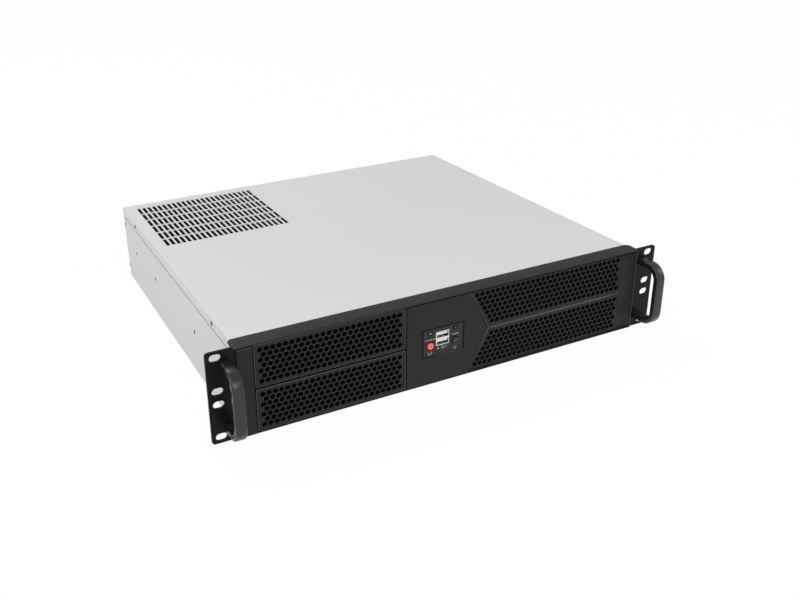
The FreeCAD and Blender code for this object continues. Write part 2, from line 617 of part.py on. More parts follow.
# ---- stacked sockets --------------------------------------------------------------------------
uw, uh = USB_W / 2.0, USB_H / 2.0
shell = box(USB_X - uw, -1.6, USB_Z - uh, USB_X + uw, BOARD_Y, USB_Z + uh)
ports = []
tongues = []
for sz in (-1, 1):
    pz = USB_Z + sz * 3.55
    ports.append(box(USB_X - 6.5, -2.5, pz - 2.75, USB_X + 6.5, BOARD_Y - 0.6, pz + 2.75))
    tongues.append(box(USB_X - 5.6, -0.8, pz - 0.1, USB_X + 5.6, BOARD_Y - 0.6, pz + 1.9))
save("usb_shell", cut(shell, ports).removeSplitter())
save("usb_tongues", Part.makeCompound(tongues))

# ---- little board and its switches ---------------------------------------------------------------
board = box(PANEL_X - 22, BOARD_Y, PANEL_Z - 11, PANEL_X + 22, BOARD_Y + BOARD_T, PANEL_Z + 12)
save("control_board", board)
switches = []
tip_back = PANEL_BACK + 0.95
sw_front = tip_back + BUTTON_TRAVEL + 0.1
for x in button_x:
    base = box(x - 3, sw_front + 0.3, BUTTON_Z - 3, x + 3, BOARD_Y, BUTTON_Z + 3)
    nub = box(x - 1.5, sw_front, BUTTON_Z - 1.5, x + 1.5, sw_front + 0.5, BUTTON_Z + 1.5)
    switches.append(base.fuse(nub).removeSplitter())
header = box(PANEL_X - 8, BOARD_Y + BOARD_T, PANEL_Z - 9, PANEL_X + 8, BOARD_Y + BOARD_T + 7, PANEL_Z - 4)
switches.append(header)
save("control_switches", Part.makeCompound(switches))

# ---- drive cage ------------------------------------------------------------------------------------
cx0 = BAY_X0 - CAGE_SIDE
cx1 = BAY_X1 + CAGE_SIDE
CAGE_Y0 = SKIRT_Y + 9.0
CAGE_TOP = LEDGE_TOP - 0.2
FLANGE_BACK = CAGE_BACK - 40.0            # the floor flange ends ahead of the board
w = SHEET
cage = [box(cx0 - w, CAGE_Y0, SHEET, cx0, CAGE_BACK, CAGE_TOP)]
cage.append(box(cx1, CAGE_Y0, SHEET, cx1 + w, CAGE_BACK, CAGE_TOP))
cage.append(box(cx0 - w, CAGE_Y0 + 20, CAGE_TOP - w, cx1 + w, CAGE_BACK - 30, CAGE_TOP))
cage.append(box(cx1, CAGE_Y0, SHEET, cx1 + 10, FLANGE_BACK, 2 * SHEET))
cage.append(box(cx0, CAGE_Y0, MID_Z - 0.5, cx0 + 6, CAGE_BACK, MID_Z + 0.5))
cage.append(box(cx1 - 6, CAGE_Y0, MID_Z - 0.5, cx1, CAGE_BACK, MID_Z + 0.5))
cage = fused(cage)
cuts = []
for z in (LOW_BAY_Z + 12, TOP_BAY_Z + 12):
    for y in (CAGE_Y0 + 40, CAGE_Y0 + 119):
        cuts.append(box(cx0 - 3, y - 5, z - 1.7, cx1 + 3, y + 5, z + 1.7))
CAGE_SCREW_Y = [CAGE_Y0 + 25, FLANGE_BACK - 12]
for y in CAGE_SCREW_Y:
    cuts.append(pin(1.8, 4, (cx1 + 6, y, 0), (0, 0, 1)))
save("drive_cage", cut(cage, cuts).removeSplitter())
screws = []
for y in CAGE_SCREW_Y:
    head = pin(3.0, 1.8, (cx1 + 6, y, 2 * SHEET), (0, 0, 1))
    shank = pin(1.7, 1.0, (cx1 + 6, y, SHEET), (0, 0, 1))
    screws.append(head.fuse(shank).removeSplitter())
save("cage_screws", Part.makeCompound(screws))

# ---- fan bracket behind the right grille -----------------------------------------------------------
fan_x = [FAN_X - FAN_STEP, FAN_X]
fan_z = SHEET + 2.0 + FAN_SIZE / 2.0
fb_x0 = fan_x[0] - FAN_SIZE / 2 - 3
fb_x1 = fan_x[1] + FAN_SIZE / 2 + 3
bracket = box(fb_x0, FAN_Y, SHEET, fb_x1, FAN_Y + SHEET, fan_z + FAN_SIZE / 2 + 1)
bracket = bracket.fuse(box(fb_x0, FAN_Y, SHEET, fb_x1, FAN_Y + 12, 2 * SHEET))
cuts = []
for x in fan_x:
    cuts.append(pin(FAN_BORE / 2, 5, (x, FAN_Y - 1, fan_z), (0, 1, 0), FAN_SIDES))
    for dx in (-1, 1):
        for dz in (-1, 1):
            h = FAN_HOLES / 2.0
            cuts.append(cyl(2.2, 5, (x + dx * h, FAN_Y - 1, fan_z + dz * h), (0, 1, 0)))
save("fan_bracket", cut(bracket, cuts).removeSplitter())

# ---- power supply stop ---------------------------------------------------------------------------------
stop_y = REAR_IN - PSU_D - 1.0
sx0, sx1 = PSU_X0 + 40, PSU_X0 + PSU_W - 40
stop = box(sx0, stop_y - SHEET, SHEET, sx1, stop_y, 14)
stop = stop.fuse(box(sx0, stop_y - 12, SHEET, sx1, stop_y, 2 * SHEET)).removeSplitter()
save("psu_stop", stop)

# ---- board standoffs -----------------------------------------------------------------------------------
POST_X = [BOARD_EDGE_X - 6.35, BOARD_EDGE_X - 6.35 - 157.48, BOARD_EDGE_X - 6.35 - 203.2]
POST_Y = [REAR_IN - 10.16, REAR_IN - 165.1, REAR_IN - 237.49]
posts = []
for i, x in enumerate(POST_X):
    for j, y in enumerate(POST_Y):
        if i == 2 and j == 1:
            continue
        ring = [(x + POST_AF / math.sqrt(3) * math.cos(math.radians(60 * k)),
                 y + POST_AF / math.sqrt(3) * math.sin(math.radians(60 * k))) for k in range(6)]
        post = prism_z(ring, SHEET, SHEET + POST_H)
        posts.append(post.cut(cyl(1.45, POST_H, (x, y, SHEET + 1.0), (0, 0, 1))))
save("standoffs", Part.makeCompound(posts))
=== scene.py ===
"""Finish and fine shapes of a two-unit rackmount server case, in metres.

Lengths below are in millimetres and become metres in put().  X is to the
right, Y to the back, Z up.  A local Y of 0 is the front face of the rack
ears, and the floor of the case stands on Z = 0.
"""
import math

import bpy
import numpy as np
from mathutils import Matrix, Vector
from mathutils.geometry import tessellate_polygon


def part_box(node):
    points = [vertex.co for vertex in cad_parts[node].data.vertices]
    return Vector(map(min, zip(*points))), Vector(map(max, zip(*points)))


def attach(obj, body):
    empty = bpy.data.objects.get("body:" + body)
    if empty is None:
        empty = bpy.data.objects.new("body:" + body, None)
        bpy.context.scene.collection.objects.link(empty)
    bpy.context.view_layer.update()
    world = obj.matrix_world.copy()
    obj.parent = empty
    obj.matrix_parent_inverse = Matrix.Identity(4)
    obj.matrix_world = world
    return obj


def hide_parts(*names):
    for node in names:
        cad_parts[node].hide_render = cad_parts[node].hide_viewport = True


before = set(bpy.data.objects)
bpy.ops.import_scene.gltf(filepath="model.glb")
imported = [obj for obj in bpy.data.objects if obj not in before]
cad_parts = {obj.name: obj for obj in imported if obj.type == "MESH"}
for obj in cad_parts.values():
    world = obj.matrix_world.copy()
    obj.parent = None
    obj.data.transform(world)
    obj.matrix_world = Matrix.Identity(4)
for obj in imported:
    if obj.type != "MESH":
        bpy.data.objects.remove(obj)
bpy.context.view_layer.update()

MM = 0.001
EAR_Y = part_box("front_plate")[0].y            # front face of the ears, metres
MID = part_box("front_plate")[1].z / MM / 2.0   # middle height of the front
CASE = "case"

# ---- sizes of the front, millimetres ----------------------------------------
PITCH = 5.83            # honeycomb pitch
RISE = PITCH * math.sqrt(3.0) / 2.0
HOLE_R = 2.3            # round mouth of a cell
RIB = 0.12              # half of the flat rib between cells
ROWS = 7                # rows of holes in each band
BAND = 21.7             # band centre above and below the middle
FACE_Y = -2.0           # front plane of the bezel
BAY_FIRST = -193.8      # first and last hole of the bay covers
BAY_LAST = -59.7
GRILLE_FIRST = 23.6     # first hole of the outermost grille row
GRILLE_LAST = 195.4
CHEVRON_TIP = 39.0      # tip of the mesh field behind the chevron
CHEVRON_SLOPE = 0.537
NUTS_BACK = (269.0, 129.0, 48.0)   # slide rail holes, from the rear
GAP_Y = -1.04           # bottom of the shadow gap round the control insert
CHEVRON_BAND = 3.4      # bevel between centre panel and mesh field
MESH_SINK = 0.45        # ridge of the mesh field, behind the front plane
MESH_FALL = 1.0         # further depth of the mesh field at its outer edges
MESH_HALF = 42.0        # ridge to outer edge
PANEL_GAP = 0.15        # round the control insert
STRIP_BACK = 15.0       # rear edge of the top strip
STRIP_CUT = 3.0         # cut rear corners of the top strip
CUT_START = 11.8        # where those cuts begin


# ---- building surfaces ---------------------------------------------------------
def put(points):
    """Millimetres in the local frame to metres in the shared frame."""
    out = np.asarray(points, float).reshape(-1, 3) * MM
    out[:, 1] += EAR_Y
    return out


class Shape:
    """Collects sheets of vertices and faces and makes one mesh object."""

    def __init__(self):
        self.verts, self.faces, self.smooth, self.mats, self.count = [], [], [], [], 0

    def add(self, verts, faces, smooth=False, mat=0):
        """Adds faces given as rows of indices into verts; mat is one index or one a face."""
        verts = np.asarray(verts, float).reshape(-1, 3)
        self.verts.append(verts)
        self.faces += [[int(i) + self.count for i in f] for f in faces]
        self.smooth += [smooth] * len(faces)
        self.mats += np.broadcast_to(mat, len(faces)).tolist()
        self.count += len(verts)
        return self

    def grid(self, p, wrap=False, smooth=True, flip=False, mat=0):
        """Sheet through p[i, j]: quads between neighbours, closed along j if wrap."""
        n, m = p.shape[:2]
        idx = np.arange(n * m).reshape(n, m)
        nxt = np.roll(idx, -1, 1) if wrap else idx[:, 1:]
        cur = idx if wrap else idx[:, :-1]
        quads = np.stack([cur[:-1], nxt[:-1], nxt[1:], cur[1:]], -1).reshape(-1, 4)
        if flip:
            quads = quads[:, ::-1]
        return self.add(p, quads, smooth, mat)

    def flat(self, loops, lift, flip=False, mat=0):
        """Flat region bounded by (x, z) loops; lift(x, z) gives its y."""
        loops = [np.asarray(l, float) for l in loops]
        tris = tessellate_polygon([[Vector((a, b, 0)) for a, b in l] for l in loops])
        xz = np.concatenate(loops)
        p = np.stack([xz[:, 0], lift(xz[:, 0], xz[:, 1]), xz[:, 1]], -1)
        faces = []
        for a, b, c in tris:
            u, v = xz[b] - xz[a], xz[c] - xz[a]
            turn = u[0] * v[1] - u[1] * v[0]
            faces.append((a, b, c) if (turn > 0) != flip else (a, c, b))
        return self.add(p, faces, mat=mat)

    def make(self, name, material, body=CASE, replaces=(), slot=None):
        """Mesh object at the origin, riding on a body."""
        mesh = bpy.data.meshes.new(name)
        mesh.from_pydata(put(np.concatenate(self.verts)).tolist(), [], self.faces)
        mesh.polygons.foreach_set("use_smooth", self.smooth)
        for m in material if isinstance(material, list) else [material]:
            mesh.materials.append(m)
        mesh.polygons.foreach_set("material_index", self.mats)
        obj = bpy.data.objects.new(name, mesh)
        bpy.context.scene.collection.objects.link(obj)
        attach(obj, body)
        if replaces:
            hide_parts(*replaces)
        return obj


def constant(y):
    """Lift function of a plane facing the front."""
    return lambda x, z: np.full(np.shape(x), float(y))


def rounded(x0, z0, x1, z1, r, n=4):
    """Corners of a rectangle rounded by quarter circles, as (x, z) points."""
    pts = []
    corners = ((x1 - r, z0 + r, -90), (x1 - r, z1 - r, 0), (x0 + r, z1 - r, 90), (x0 + r, z0 + r, 180))
    for cx, cz, a0 in corners:
        a = np.radians(a0 + np.linspace(0, 90, n + 1))
        pts.append(np.stack([cx + r * np.cos(a), cz + r * np.sin(a)], -1))
    return np.concatenate(pts)


def rim(shape, rect, r, steps, flip=False, smooth=True, mat=0):
    """Wall round a rounded rectangle: each step is (inset, y) from front to back."""
    x0, z0, x1, z1 = rect
    rings = []
    for inset, y in steps:
        rr = max(r - inset, 0.02)
        xz = rounded(x0 + inset, z0 + inset, x1 - inset, z1 - inset, rr)
        rings.append(np.insert(xz, 1, y, axis=1))
    return shape.grid(np.array(rings), wrap=True, smooth=smooth, flip=flip, mat=mat)


def round_over(r, n=4):
    """Quarter-round edge: (inset, depth) from the face to the side."""
    a = np.radians(np.linspace(0, 90, n + 1))
    return [(r - r * math.sin(t), r - r * math.cos(t)) for t in a]


# ---- honeycomb ----------------------------------------------------------------------
def rows_of_holes(first, last, middle, rows=ROWS):
    """Hole centres (x, z): row k of a band starts at first(k), from the top down."""
    out = []
    for k in range(rows):
        x = np.arange(first(k), last + 0.01, PITCH)
        z = middle + ((rows - 1) / 2.0 - k) * RISE
        out.append(np.stack([x, np.full(len(x), z)], -1))
    return np.concatenate(out)


def cell_outline(n=12):
    """Unit hexagon with flats to the sides, sampled at n angles: radius per angle."""
    a = np.arange(n) * 2 * np.pi / n
    off = (a + np.pi / 6) % (np.pi / 3) - np.pi / 6
    return a, 1.0 / np.cos(off)


def honeycomb(shape, centres, lift, deep):
    """Perforated skin: round each hole a ring of quads.

    Radius and depth run from the hexagonal cell edge over the flat rib and
    a bevelled mouth into a round hole, so the skin is a function of the
    angle round the hole and the distance down its wall.
    """
    a, hexa = cell_outline()
    half = PITCH / 2.0
    edge = half * hexa
    flat = (half - RIB) * hexa
    mouth = 0.6 * (HOLE_R + 0.1) + 0.4 * 0.93 * (HOLE_R + 0.1) * hexa
    rings = [(edge, 0.0), (flat, 0.0), (mouth, 0.28), (mouth, deep)]
    radii = np.array([r for r, _ in rings])
    depth = np.array([d for _, d in rings])
    n, m, k = len(centres), len(rings), len(a)
    x = centres[:, None, None, 0] + radii[None] * np.cos(a)
    z = centres[:, None, None, 1] + radii[None] * np.sin(a)
    y = lift(x, z) + depth[None, :, None]
    verts = np.stack([x, y, z], -1).reshape(-1, 3)
    idx = np.arange(n * m * k).reshape(n, m, k)
    nxt = np.roll(idx, -1, 2)
    quads = np.stack([idx[:, :-1], nxt[:, :-1], nxt[:, 1:], idx[:, 1:]], -1).reshape(-1, 4)
    # The deepest wall ring of each hole takes material 1, painted shade.
    mat = np.broadcast_to(np.where(np.arange(m - 1) < m - 2, 0, 1)[None, :, None], (n, m - 1, k))
    return shape.add(verts, quads[:, ::-1], False, mat.reshape(-1))


def field_edge(centres):
    """Zigzag outline of all cells together, as one (x, z) loop."""
    r = PITCH / 2.0 / math.cos(math.pi / 6)
    a = np.radians(30 + 60 * np.arange(6))
    corners = centres[:, None] + r * np.stack([np.cos(a), np.sin(a)], -1)[None]
    keys = np.round(corners * 50).astype(int)
    nxt = {}
    seen = set()
    for cell in keys:
        for i in range(6):
            p, q = tuple(cell[i]), tuple(cell[(i + 1) % 6])
            seen.add((p, q))
    where = {tuple(k): c for k, c in zip(keys.reshape(-1, 2), corners.reshape(-1, 2))}
    near = {}
    for k in where:
        near.setdefault((k[0] // 4, k[1] // 4), []).append(k)

    def same(k):
        """One key for corners that coincide within rounding."""
        best = k
        for dx in (-1, 0, 1):
            for dz in (-1, 0, 1):
                for o in near.get((k[0] // 4 + dx, k[1] // 4 + dz), []):
                    if abs(o[0] - k[0]) <= 3 and abs(o[1] - k[1]) <= 3:
                        best = min(best, o)
        return best
    edges = {(same(p), same(q)) for p, q in seen}
    for p, q in edges:
        if (q, p) not in edges:
            nxt[p] = q
    start = min(nxt)
    loop, p = [], start
    while True:
        loop.append(where[p])
        p = nxt[p]
        if p == start:
            return np.array(loop)


# ---- shared shader groups ----------------------------------------------------------
def new_group(name, inputs, outputs):
    """Empty node group with typed sockets, plus its input and output nodes."""
    g = bpy.data.node_groups.new(name, "ShaderNodeTree")
    for title, kind, value in inputs:
        s = g.interface.new_socket(title, in_out="INPUT", socket_type=kind)
        if value is not None:
            s.default_value = value
    for title, kind in outputs:
        g.interface.new_socket(title, in_out="OUTPUT", socket_type=kind)
    return g, g.nodes.new("NodeGroupInput"), g.nodes.new("NodeGroupOutput")


def link(tree, a, b):
    """Short form for a link."""
    tree.links.new(a, b)


def math_node(tree, op, a, b=None, clamp=False):
    """Math node with sockets or plain numbers as inputs."""
    n = tree.nodes.new("ShaderNodeMath")
    n.operation = op
    n.use_clamp = clamp
    for i, v in enumerate((a, b)):
        if v is None:
            continue
        if isinstance(v, (int, float)):
            n.inputs[i].default_value = v
        else:
            link(tree, v, n.inputs[i])
    return n.outputs[0]


def noise(tree, vector, scale, detail=4.0, rough=0.55):
    """Noise texture read at an object point."""
    n = tree.nodes.new("ShaderNodeTexNoise")
    n.inputs["Detail"].default_value = detail
    n.inputs["Roughness"].default_value = rough
    if isinstance(scale, (int, float)):
        n.inputs["Scale"].default_value = scale
    else:
        link(tree, scale, n.inputs["Scale"])
    link(tree, vector, n.inputs["Vector"])
    return n.outputs["Fac"]


def coating_group():
    """Painted or moulded skin: fine grain, slow mottling and faint dust on tops."""
    f = "NodeSocketFloat"
    ins = [("Tint", "NodeSocketColor", (0.5, 0.5, 0.5, 1.0)),
           ("Grain Scale", f, 900.0), ("Grain Depth", f, 0.3),
           ("Mottle", f, 0.04), ("Roughness", f, 0.45), ("Dust", f, 0.0)]
    outs = [("Color", "NodeSocketColor"), ("Roughness", f), ("Normal", "NodeSocketVector")]
    g, i, o = new_group("coated_skin", ins, outs)
    co = g.nodes.new("ShaderNodeTexCoord").outputs["Object"]
    grain = noise(g, co, i.outputs["Grain Scale"], 3.0, 0.6)
    slow = noise(g, co, 7.0, 3.0)
    fine = noise(g, co, 260.0, 2.0)
    spread = math_node(g, "MULTIPLY", math_node(g, "SUBTRACT", slow, 0.5), i.outputs["Mottle"])
    above = math_node(g, "SUBTRACT", fine, 0.5)
    speck = math_node(g, "MULTIPLY", above, math_node(g, "MULTIPLY", i.outputs["Mottle"], 0.6))
    level = math_node(g, "ADD", math_node(g, "ADD", spread, speck), 1.0)
    scale = g.nodes.new("ShaderNodeVectorMath")
    scale.operation = "SCALE"
    link(g, i.outputs["Tint"], scale.inputs[0])
    link(g, level, scale.inputs["Scale"])
    up = g.nodes.new("ShaderNodeSeparateXYZ")
    link(g, g.nodes.new("ShaderNodeNewGeometry").outputs["Normal"], up.inputs[0])
    dusty = math_node(g, "MULTIPLY", math_node(g, "MAXIMUM", up.outputs["Z"], 0.0), i.outputs["Dust"])
    dusty = math_node(g, "MULTIPLY", dusty, noise(g, co, 40.0, 5.0), True)
    mix = g.nodes.new("ShaderNodeMix")
    mix.data_type = "RGBA"
    link(g, dusty, mix.inputs["Factor"])
    link(g, scale.outputs[0], mix.inputs["A"])
    mix.inputs["B"].default_value = (0.55, 0.54, 0.52, 1.0)
    link(g, mix.outputs["Result"], o.inputs["Color"])
    swing = math_node(g, "MULTIPLY", math_node(g, "SUBTRACT", slow, 0.5), 0.12)
    rough = math_node(g, "ADD", i.outputs["Roughness"], swing)
    link(g, math_node(g, "ADD", rough, math_node(g, "MULTIPLY", dusty, 0.3), True), o.inputs["Roughness"])
    bump = g.nodes.new("ShaderNodeBump")
    bump.inputs["Distance"].default_value = 0.00006
    link(g, i.outputs["Grain Depth"], bump.inputs["Strength"])
    link(g, grain, bump.inputs["Height"])
    link(g, bump.outputs["Normal"], o.inputs["Normal"])
    return g


def brushed_group():
    """Rolled or brushed metal: long streaks along one direction plus spangle."""
    f = "NodeSocketFloat"
    ins = [("Tint", "NodeSocketColor", (0.6, 0.6, 0.6, 1.0)), ("Streak Depth", f, 0.15),
           ("Roughness", f, 0.35), ("Spangle", f, 0.06)]
    outs = [("Color", "NodeSocketColor"), ("Roughness", f), ("Normal", "NodeSocketVector")]
    g, i, o = new_group("rolled_metal", ins, outs)
    co = g.nodes.new("ShaderNodeTexCoord").outputs["Object"]
    stretch = g.nodes.new("ShaderNodeMapping")
    stretch.inputs["Scale"].default_value = (1.0, 0.02, 1.0)
    link(g, co, stretch.inputs["Vector"])
    streak = noise(g, stretch.outputs[0], 1500.0, 2.0)
    cells = g.nodes.new("ShaderNodeTexVoronoi")
    cells.inputs["Scale"].default_value = 90.0
    link(g, co, cells.inputs["Vector"])
    shade = g.nodes.new("ShaderNodeSeparateColor")
    link(g, cells.outputs["Color"], shade.inputs[0])
    level = math_node(g, "MULTIPLY", math_node(g, "SUBTRACT", shade.outputs[0], 0.5), i.outputs["Spangle"])
    level = math_node(g, "ADD", level, 1.0)
    scale = g.nodes.new("ShaderNodeVectorMath")
    scale.operation = "SCALE"
    link(g, i.outputs["Tint"], scale.inputs[0])
    link(g, level, scale.inputs["Scale"])
    link(g, scale.outputs[0], o.inputs["Color"])
    drift = math_node(g, "MULTIPLY", math_node(g, "SUBTRACT", streak, 0.5), 0.15)
    link(g, math_node(g, "ADD", i.outputs["Roughness"], drift, True), o.inputs["Roughness"])
    bump = g.nodes.new("ShaderNodeBump")
    bump.inputs["Distance"].default_value = 0.00003
    link(g, i.outputs["Streak Depth"], bump.inputs["Strength"])
    link(g, streak, bump.inputs["Height"])
    link(g, bump.outputs["Normal"], o.inputs["Normal"])
    return g


COATING = coating_group()
ROLLED = brushed_group()


def material(name, group, values, **fixed):
    """Principled material fed by a group; fixed holds plain socket values."""
    m = bpy.data.materials.new(name)
    m.use_nodes = True
    t = m.node_tree
    bsdf = t.nodes["Principled BSDF"]
    g = t.nodes.new("ShaderNodeGroup")
    g.node_tree = group
    for key, value in values.items():
        g.inputs[key].default_value = value
    link(t, g.outputs["Color"], bsdf.inputs["Base Color"])
    link(t, g.outputs["Roughness"], bsdf.inputs["Roughness"])
    link(t, g.outputs["Normal"], bsdf.inputs["Normal"])
    for key, value in fixed.items():
        bsdf.inputs[key.replace("_", " ")].default_value = value
    return m


def tint(r, g, b):
    """Colour with full alpha."""
    return (r, g, b, 1.0)


def coated(name, rgb, grain, depth, mottle, rough, dust=0.0, **fixed):
    """Coated or moulded finish: colour, grain and its depth, mottling, roughness, dust."""
    values = {"Tint": tint(*rgb), "Grain Scale": grain, "Grain Depth": depth,
              "Mottle": mottle, "Roughness": rough, "Dust": dust}
    return material(name, COATING, values, **fixed)


def rolled(name, rgb, streak, rough, spangle, metallic):
    """Metal finish: colour, depth of the streaks, roughness, spangle, metallic share."""
    values = {"Tint": tint(*rgb), "Streak Depth": streak, "Roughness": rough, "Spangle": spangle}
    return material(name, ROLLED, values, Metallic=metallic)


PALE = coated("pale_grey_coated_sheet", (0.635, 0.635, 0.635), 1400.0, 0.25, 0.03, 0.5, 0.02, Metallic=0.0)
BLACK_STEEL = coated("black_powder_coat", (0.006, 0.006, 0.0062), 1800.0, 0.4, 0.15, 0.36, 0.01,
                     Specular_IOR_Level=0.12)
BEZEL = coated("bezel_moulded_plastic", (0.0125, 0.0125, 0.0128), 2200.0, 0.5, 0.12, 0.55, 0.03,
               Specular_IOR_Level=0.24)
# Near-black painted shade: hole walls, gaps, grooves, rear skirts, rail nuts and the reset ring take it so
# their shade reads black.
PAINTED_SHADE = coated("painted_shade_plastic", (0.002, 0.002, 0.002), 2200.0, 0.3, 0.1, 0.75, Specular_IOR_Level=0.12)
# Lighter painted highlight: thin lit lines on bevels, the ridge crest, chamfers and the insert's lower edge.
PAINTED_HIGHLIGHT = coated("painted_highlight_plastic", (0.033, 0.033, 0.034), 2200.0, 0.3, 0.2, 0.32, Specular_IOR_Level=0.6)
# Bezel material slots: 0 plain plastic, 1 painted shade, 2 painted highlight.
BEZEL_SET = [BEZEL, PAINTED_SHADE, PAINTED_HIGHLIGHT]
# Near-black foam: on the filter pads it is partly painted shade that darkens what shows through the holes; in
# the cover seam it is painted shade only.
SHADE_FOAM = coated("filter_foam_painted_shade", (0.0015, 0.0015, 0.0015), 500.0, 1.0, 0.3, 0.95, Specular_IOR_Level=0.05)
HANDLE = coated("handle_moulded_plastic", (0.008, 0.008, 0.0082), 2000.0, 0.3, 0.1, 0.31, 0.02,
                Specular_IOR_Level=0.6)
INSERT = coated("insert_moulded_plastic", (0.012, 0.013, 0.014), 2000.0, 0.35, 0.1, 0.45,
                Specular_IOR_Level=0.35)
RED = coated("red_button_plastic", (0.95, 0.12, 0.09), 1500.0, 0.1, 0.08, 0.3, Coat_Weight=0.3)
BLACK_CAP = coated("black_button_plastic", (0.004, 0.004, 0.004), 1500.0, 0.15, 0.1, 0.3, Coat_Weight=0.2)
GREEN = coated("green_lens", (0.07, 0.18, 0.145), 800.0, 0.05, 0.1, 0.18, Coat_Weight=0.5)
AMBER = coated("amber_lens", (0.15, 0.11, 0.1), 800.0, 0.05, 0.1, 0.18, Coat_Weight=0.5)
GREEN_DARK = coated("dark_green_holder", (0.002, 0.016, 0.012), 800.0, 0.1, 0.1, 0.25,
                    Specular_IOR_Level=0.08)
BROWN_DARK = coated("dark_brown_holder", (0.007, 0.003, 0.0025), 800.0, 0.1, 0.1, 0.25,
                    Specular_IOR_Level=0.08)
# Dark red ring round the red button: painted shade at the button's rim.
RED_RIM_SHADE = coated("red_rim_painted_shade", (0.05, 0.004, 0.003), 800.0, 0.1, 0.1, 0.35, Specular_IOR_Level=0.08)
WHITE = coated("white_socket_plastic", (0.78, 0.77, 0.74), 1500.0, 0.1, 0.05, 0.4)
PRINT = coated("pale_print", (0.36, 0.33, 0.31), 3000.0, 0.2, 0.2, 0.5)
BOARD = coated("board_solder_mask", (0.02, 0.12, 0.05), 700.0, 0.2, 0.2, 0.35)
SHELL = rolled("plated_shell", (0.85, 0.84, 0.83), 0.08, 0.22, 0.02, 1.0)
ZINC = rolled("zinc_coated_sheet", (0.62, 0.63, 0.64), 0.12, 0.4, 0.08, 0.85)
SCREW = rolled("zinc_fastener", (0.5, 0.5, 0.51), 0.1, 0.34, 0.05, 0.9)
DULL = rolled("dull_fastener", (0.13, 0.13, 0.135), 0.1, 0.45, 0.02, 0.6)
BRASS = rolled("turned_brass", (0.72, 0.5, 0.2), 0.1, 0.3, 0.03, 1.0)


def filter_pad(name, rect, level, thick):
    """Near-black foam sheet behind a mesh, partly painted shade that darkens the holes: a front level with
    crossed ripples and an even thickness.
    """
    x0, z0, x1, z1 = rect
    u, v = np.meshgrid(np.linspace(0, 1, 60), np.linspace(0, 1, 24))
    z = z0 + (z1 - z0) * v
    front = level(0 * z, z) + 0.06 + 0.06 * np.sin(97 * u) * np.sin(61 * v)
    p = np.stack([x0 + (x1 - x0) * u, front, z], -1)
    back = p + [0, thick, 0]
    s = Shape()
    s.grid(p, smooth=True)
    s.grid(back, smooth=False, flip=True)
    ring, far = (np.concatenate([q[0], q[1:, -1], q[-1, -2::-1], q[-2:0:-1, 0]]) for q in (p, back))
    s.grid(np.array([ring, far]), wrap=True, smooth=False)
    s.make(name, SHADE_FOAM, slot="bezel_plastic")


# ---- bay covers ---------------------------------------------------------------------
def bay_cover(node):
    """Perforated cover: flat honeycomb face, rounded edge and rear skirt."""
    lo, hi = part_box(node)
    x0, x1, z0, z1 = lo.x / MM, hi.x / MM, lo.z / MM, hi.z / MM
    mid = (z0 + z1) / 2.0
    s = Shape()
    edge = 0.7
    face = FACE_Y + 0.15
    shift = PITCH / 2.0
    centres = rows_of_holes(lambda k: BAY_FIRST + shift * (k % 2), BAY_LAST + 0.4, mid)
    plane = constant(face)
    honeycomb(s, centres, plane, 2.4)
    inner = rounded(x0 + edge, z0 + edge, x1 - edge, z1 - edge, 0.5)
    s.flat([inner, field_edge(centres)], plane)
    # Rounded edge in painted highlight; the rear skirt below is in painted shade.
    rim(s, (x0, z0, x1, z1), 1.2, [(i, face + d) for i, d in round_over(edge)], mat=2)
    skirt = [(0.0, face + edge), (0.0, 1.0), (0.5, 1.0), (0.5, 9.0), (2.0, 9.0), (2.0, 0.4)]
    rim(s, (x0, z0, x1, z1), 1.2, skirt, mat=1)
    s.make(node + "_moulding", BEZEL_SET, replaces=[node], slot="bezel_plastic")
    filter_pad(node + "_filter", (x0 + 2.3, z0 + 2.3, x1 - 2.3, z1 - 2.3), constant(0.7), 3.5)


bay_cover("upper_bay_cover")
bay_cover("lower_bay_cover")


# ---- bezel ------------------------------------------------------------------------------
def chevron_x(z, tip, slope):
    """Left limit of the mesh field at a height: a wedge with its tip at mid height."""
    return tip - slope * np.abs(np.asarray(z, float) - MID)


def mesh_level(x, z):
    """Depth of the mesh field: a shallow roof whose ridge is at mid height."""
    return FACE_Y + MESH_SINK + MESH_FALL * np.abs(z - MID) / MESH_HALF


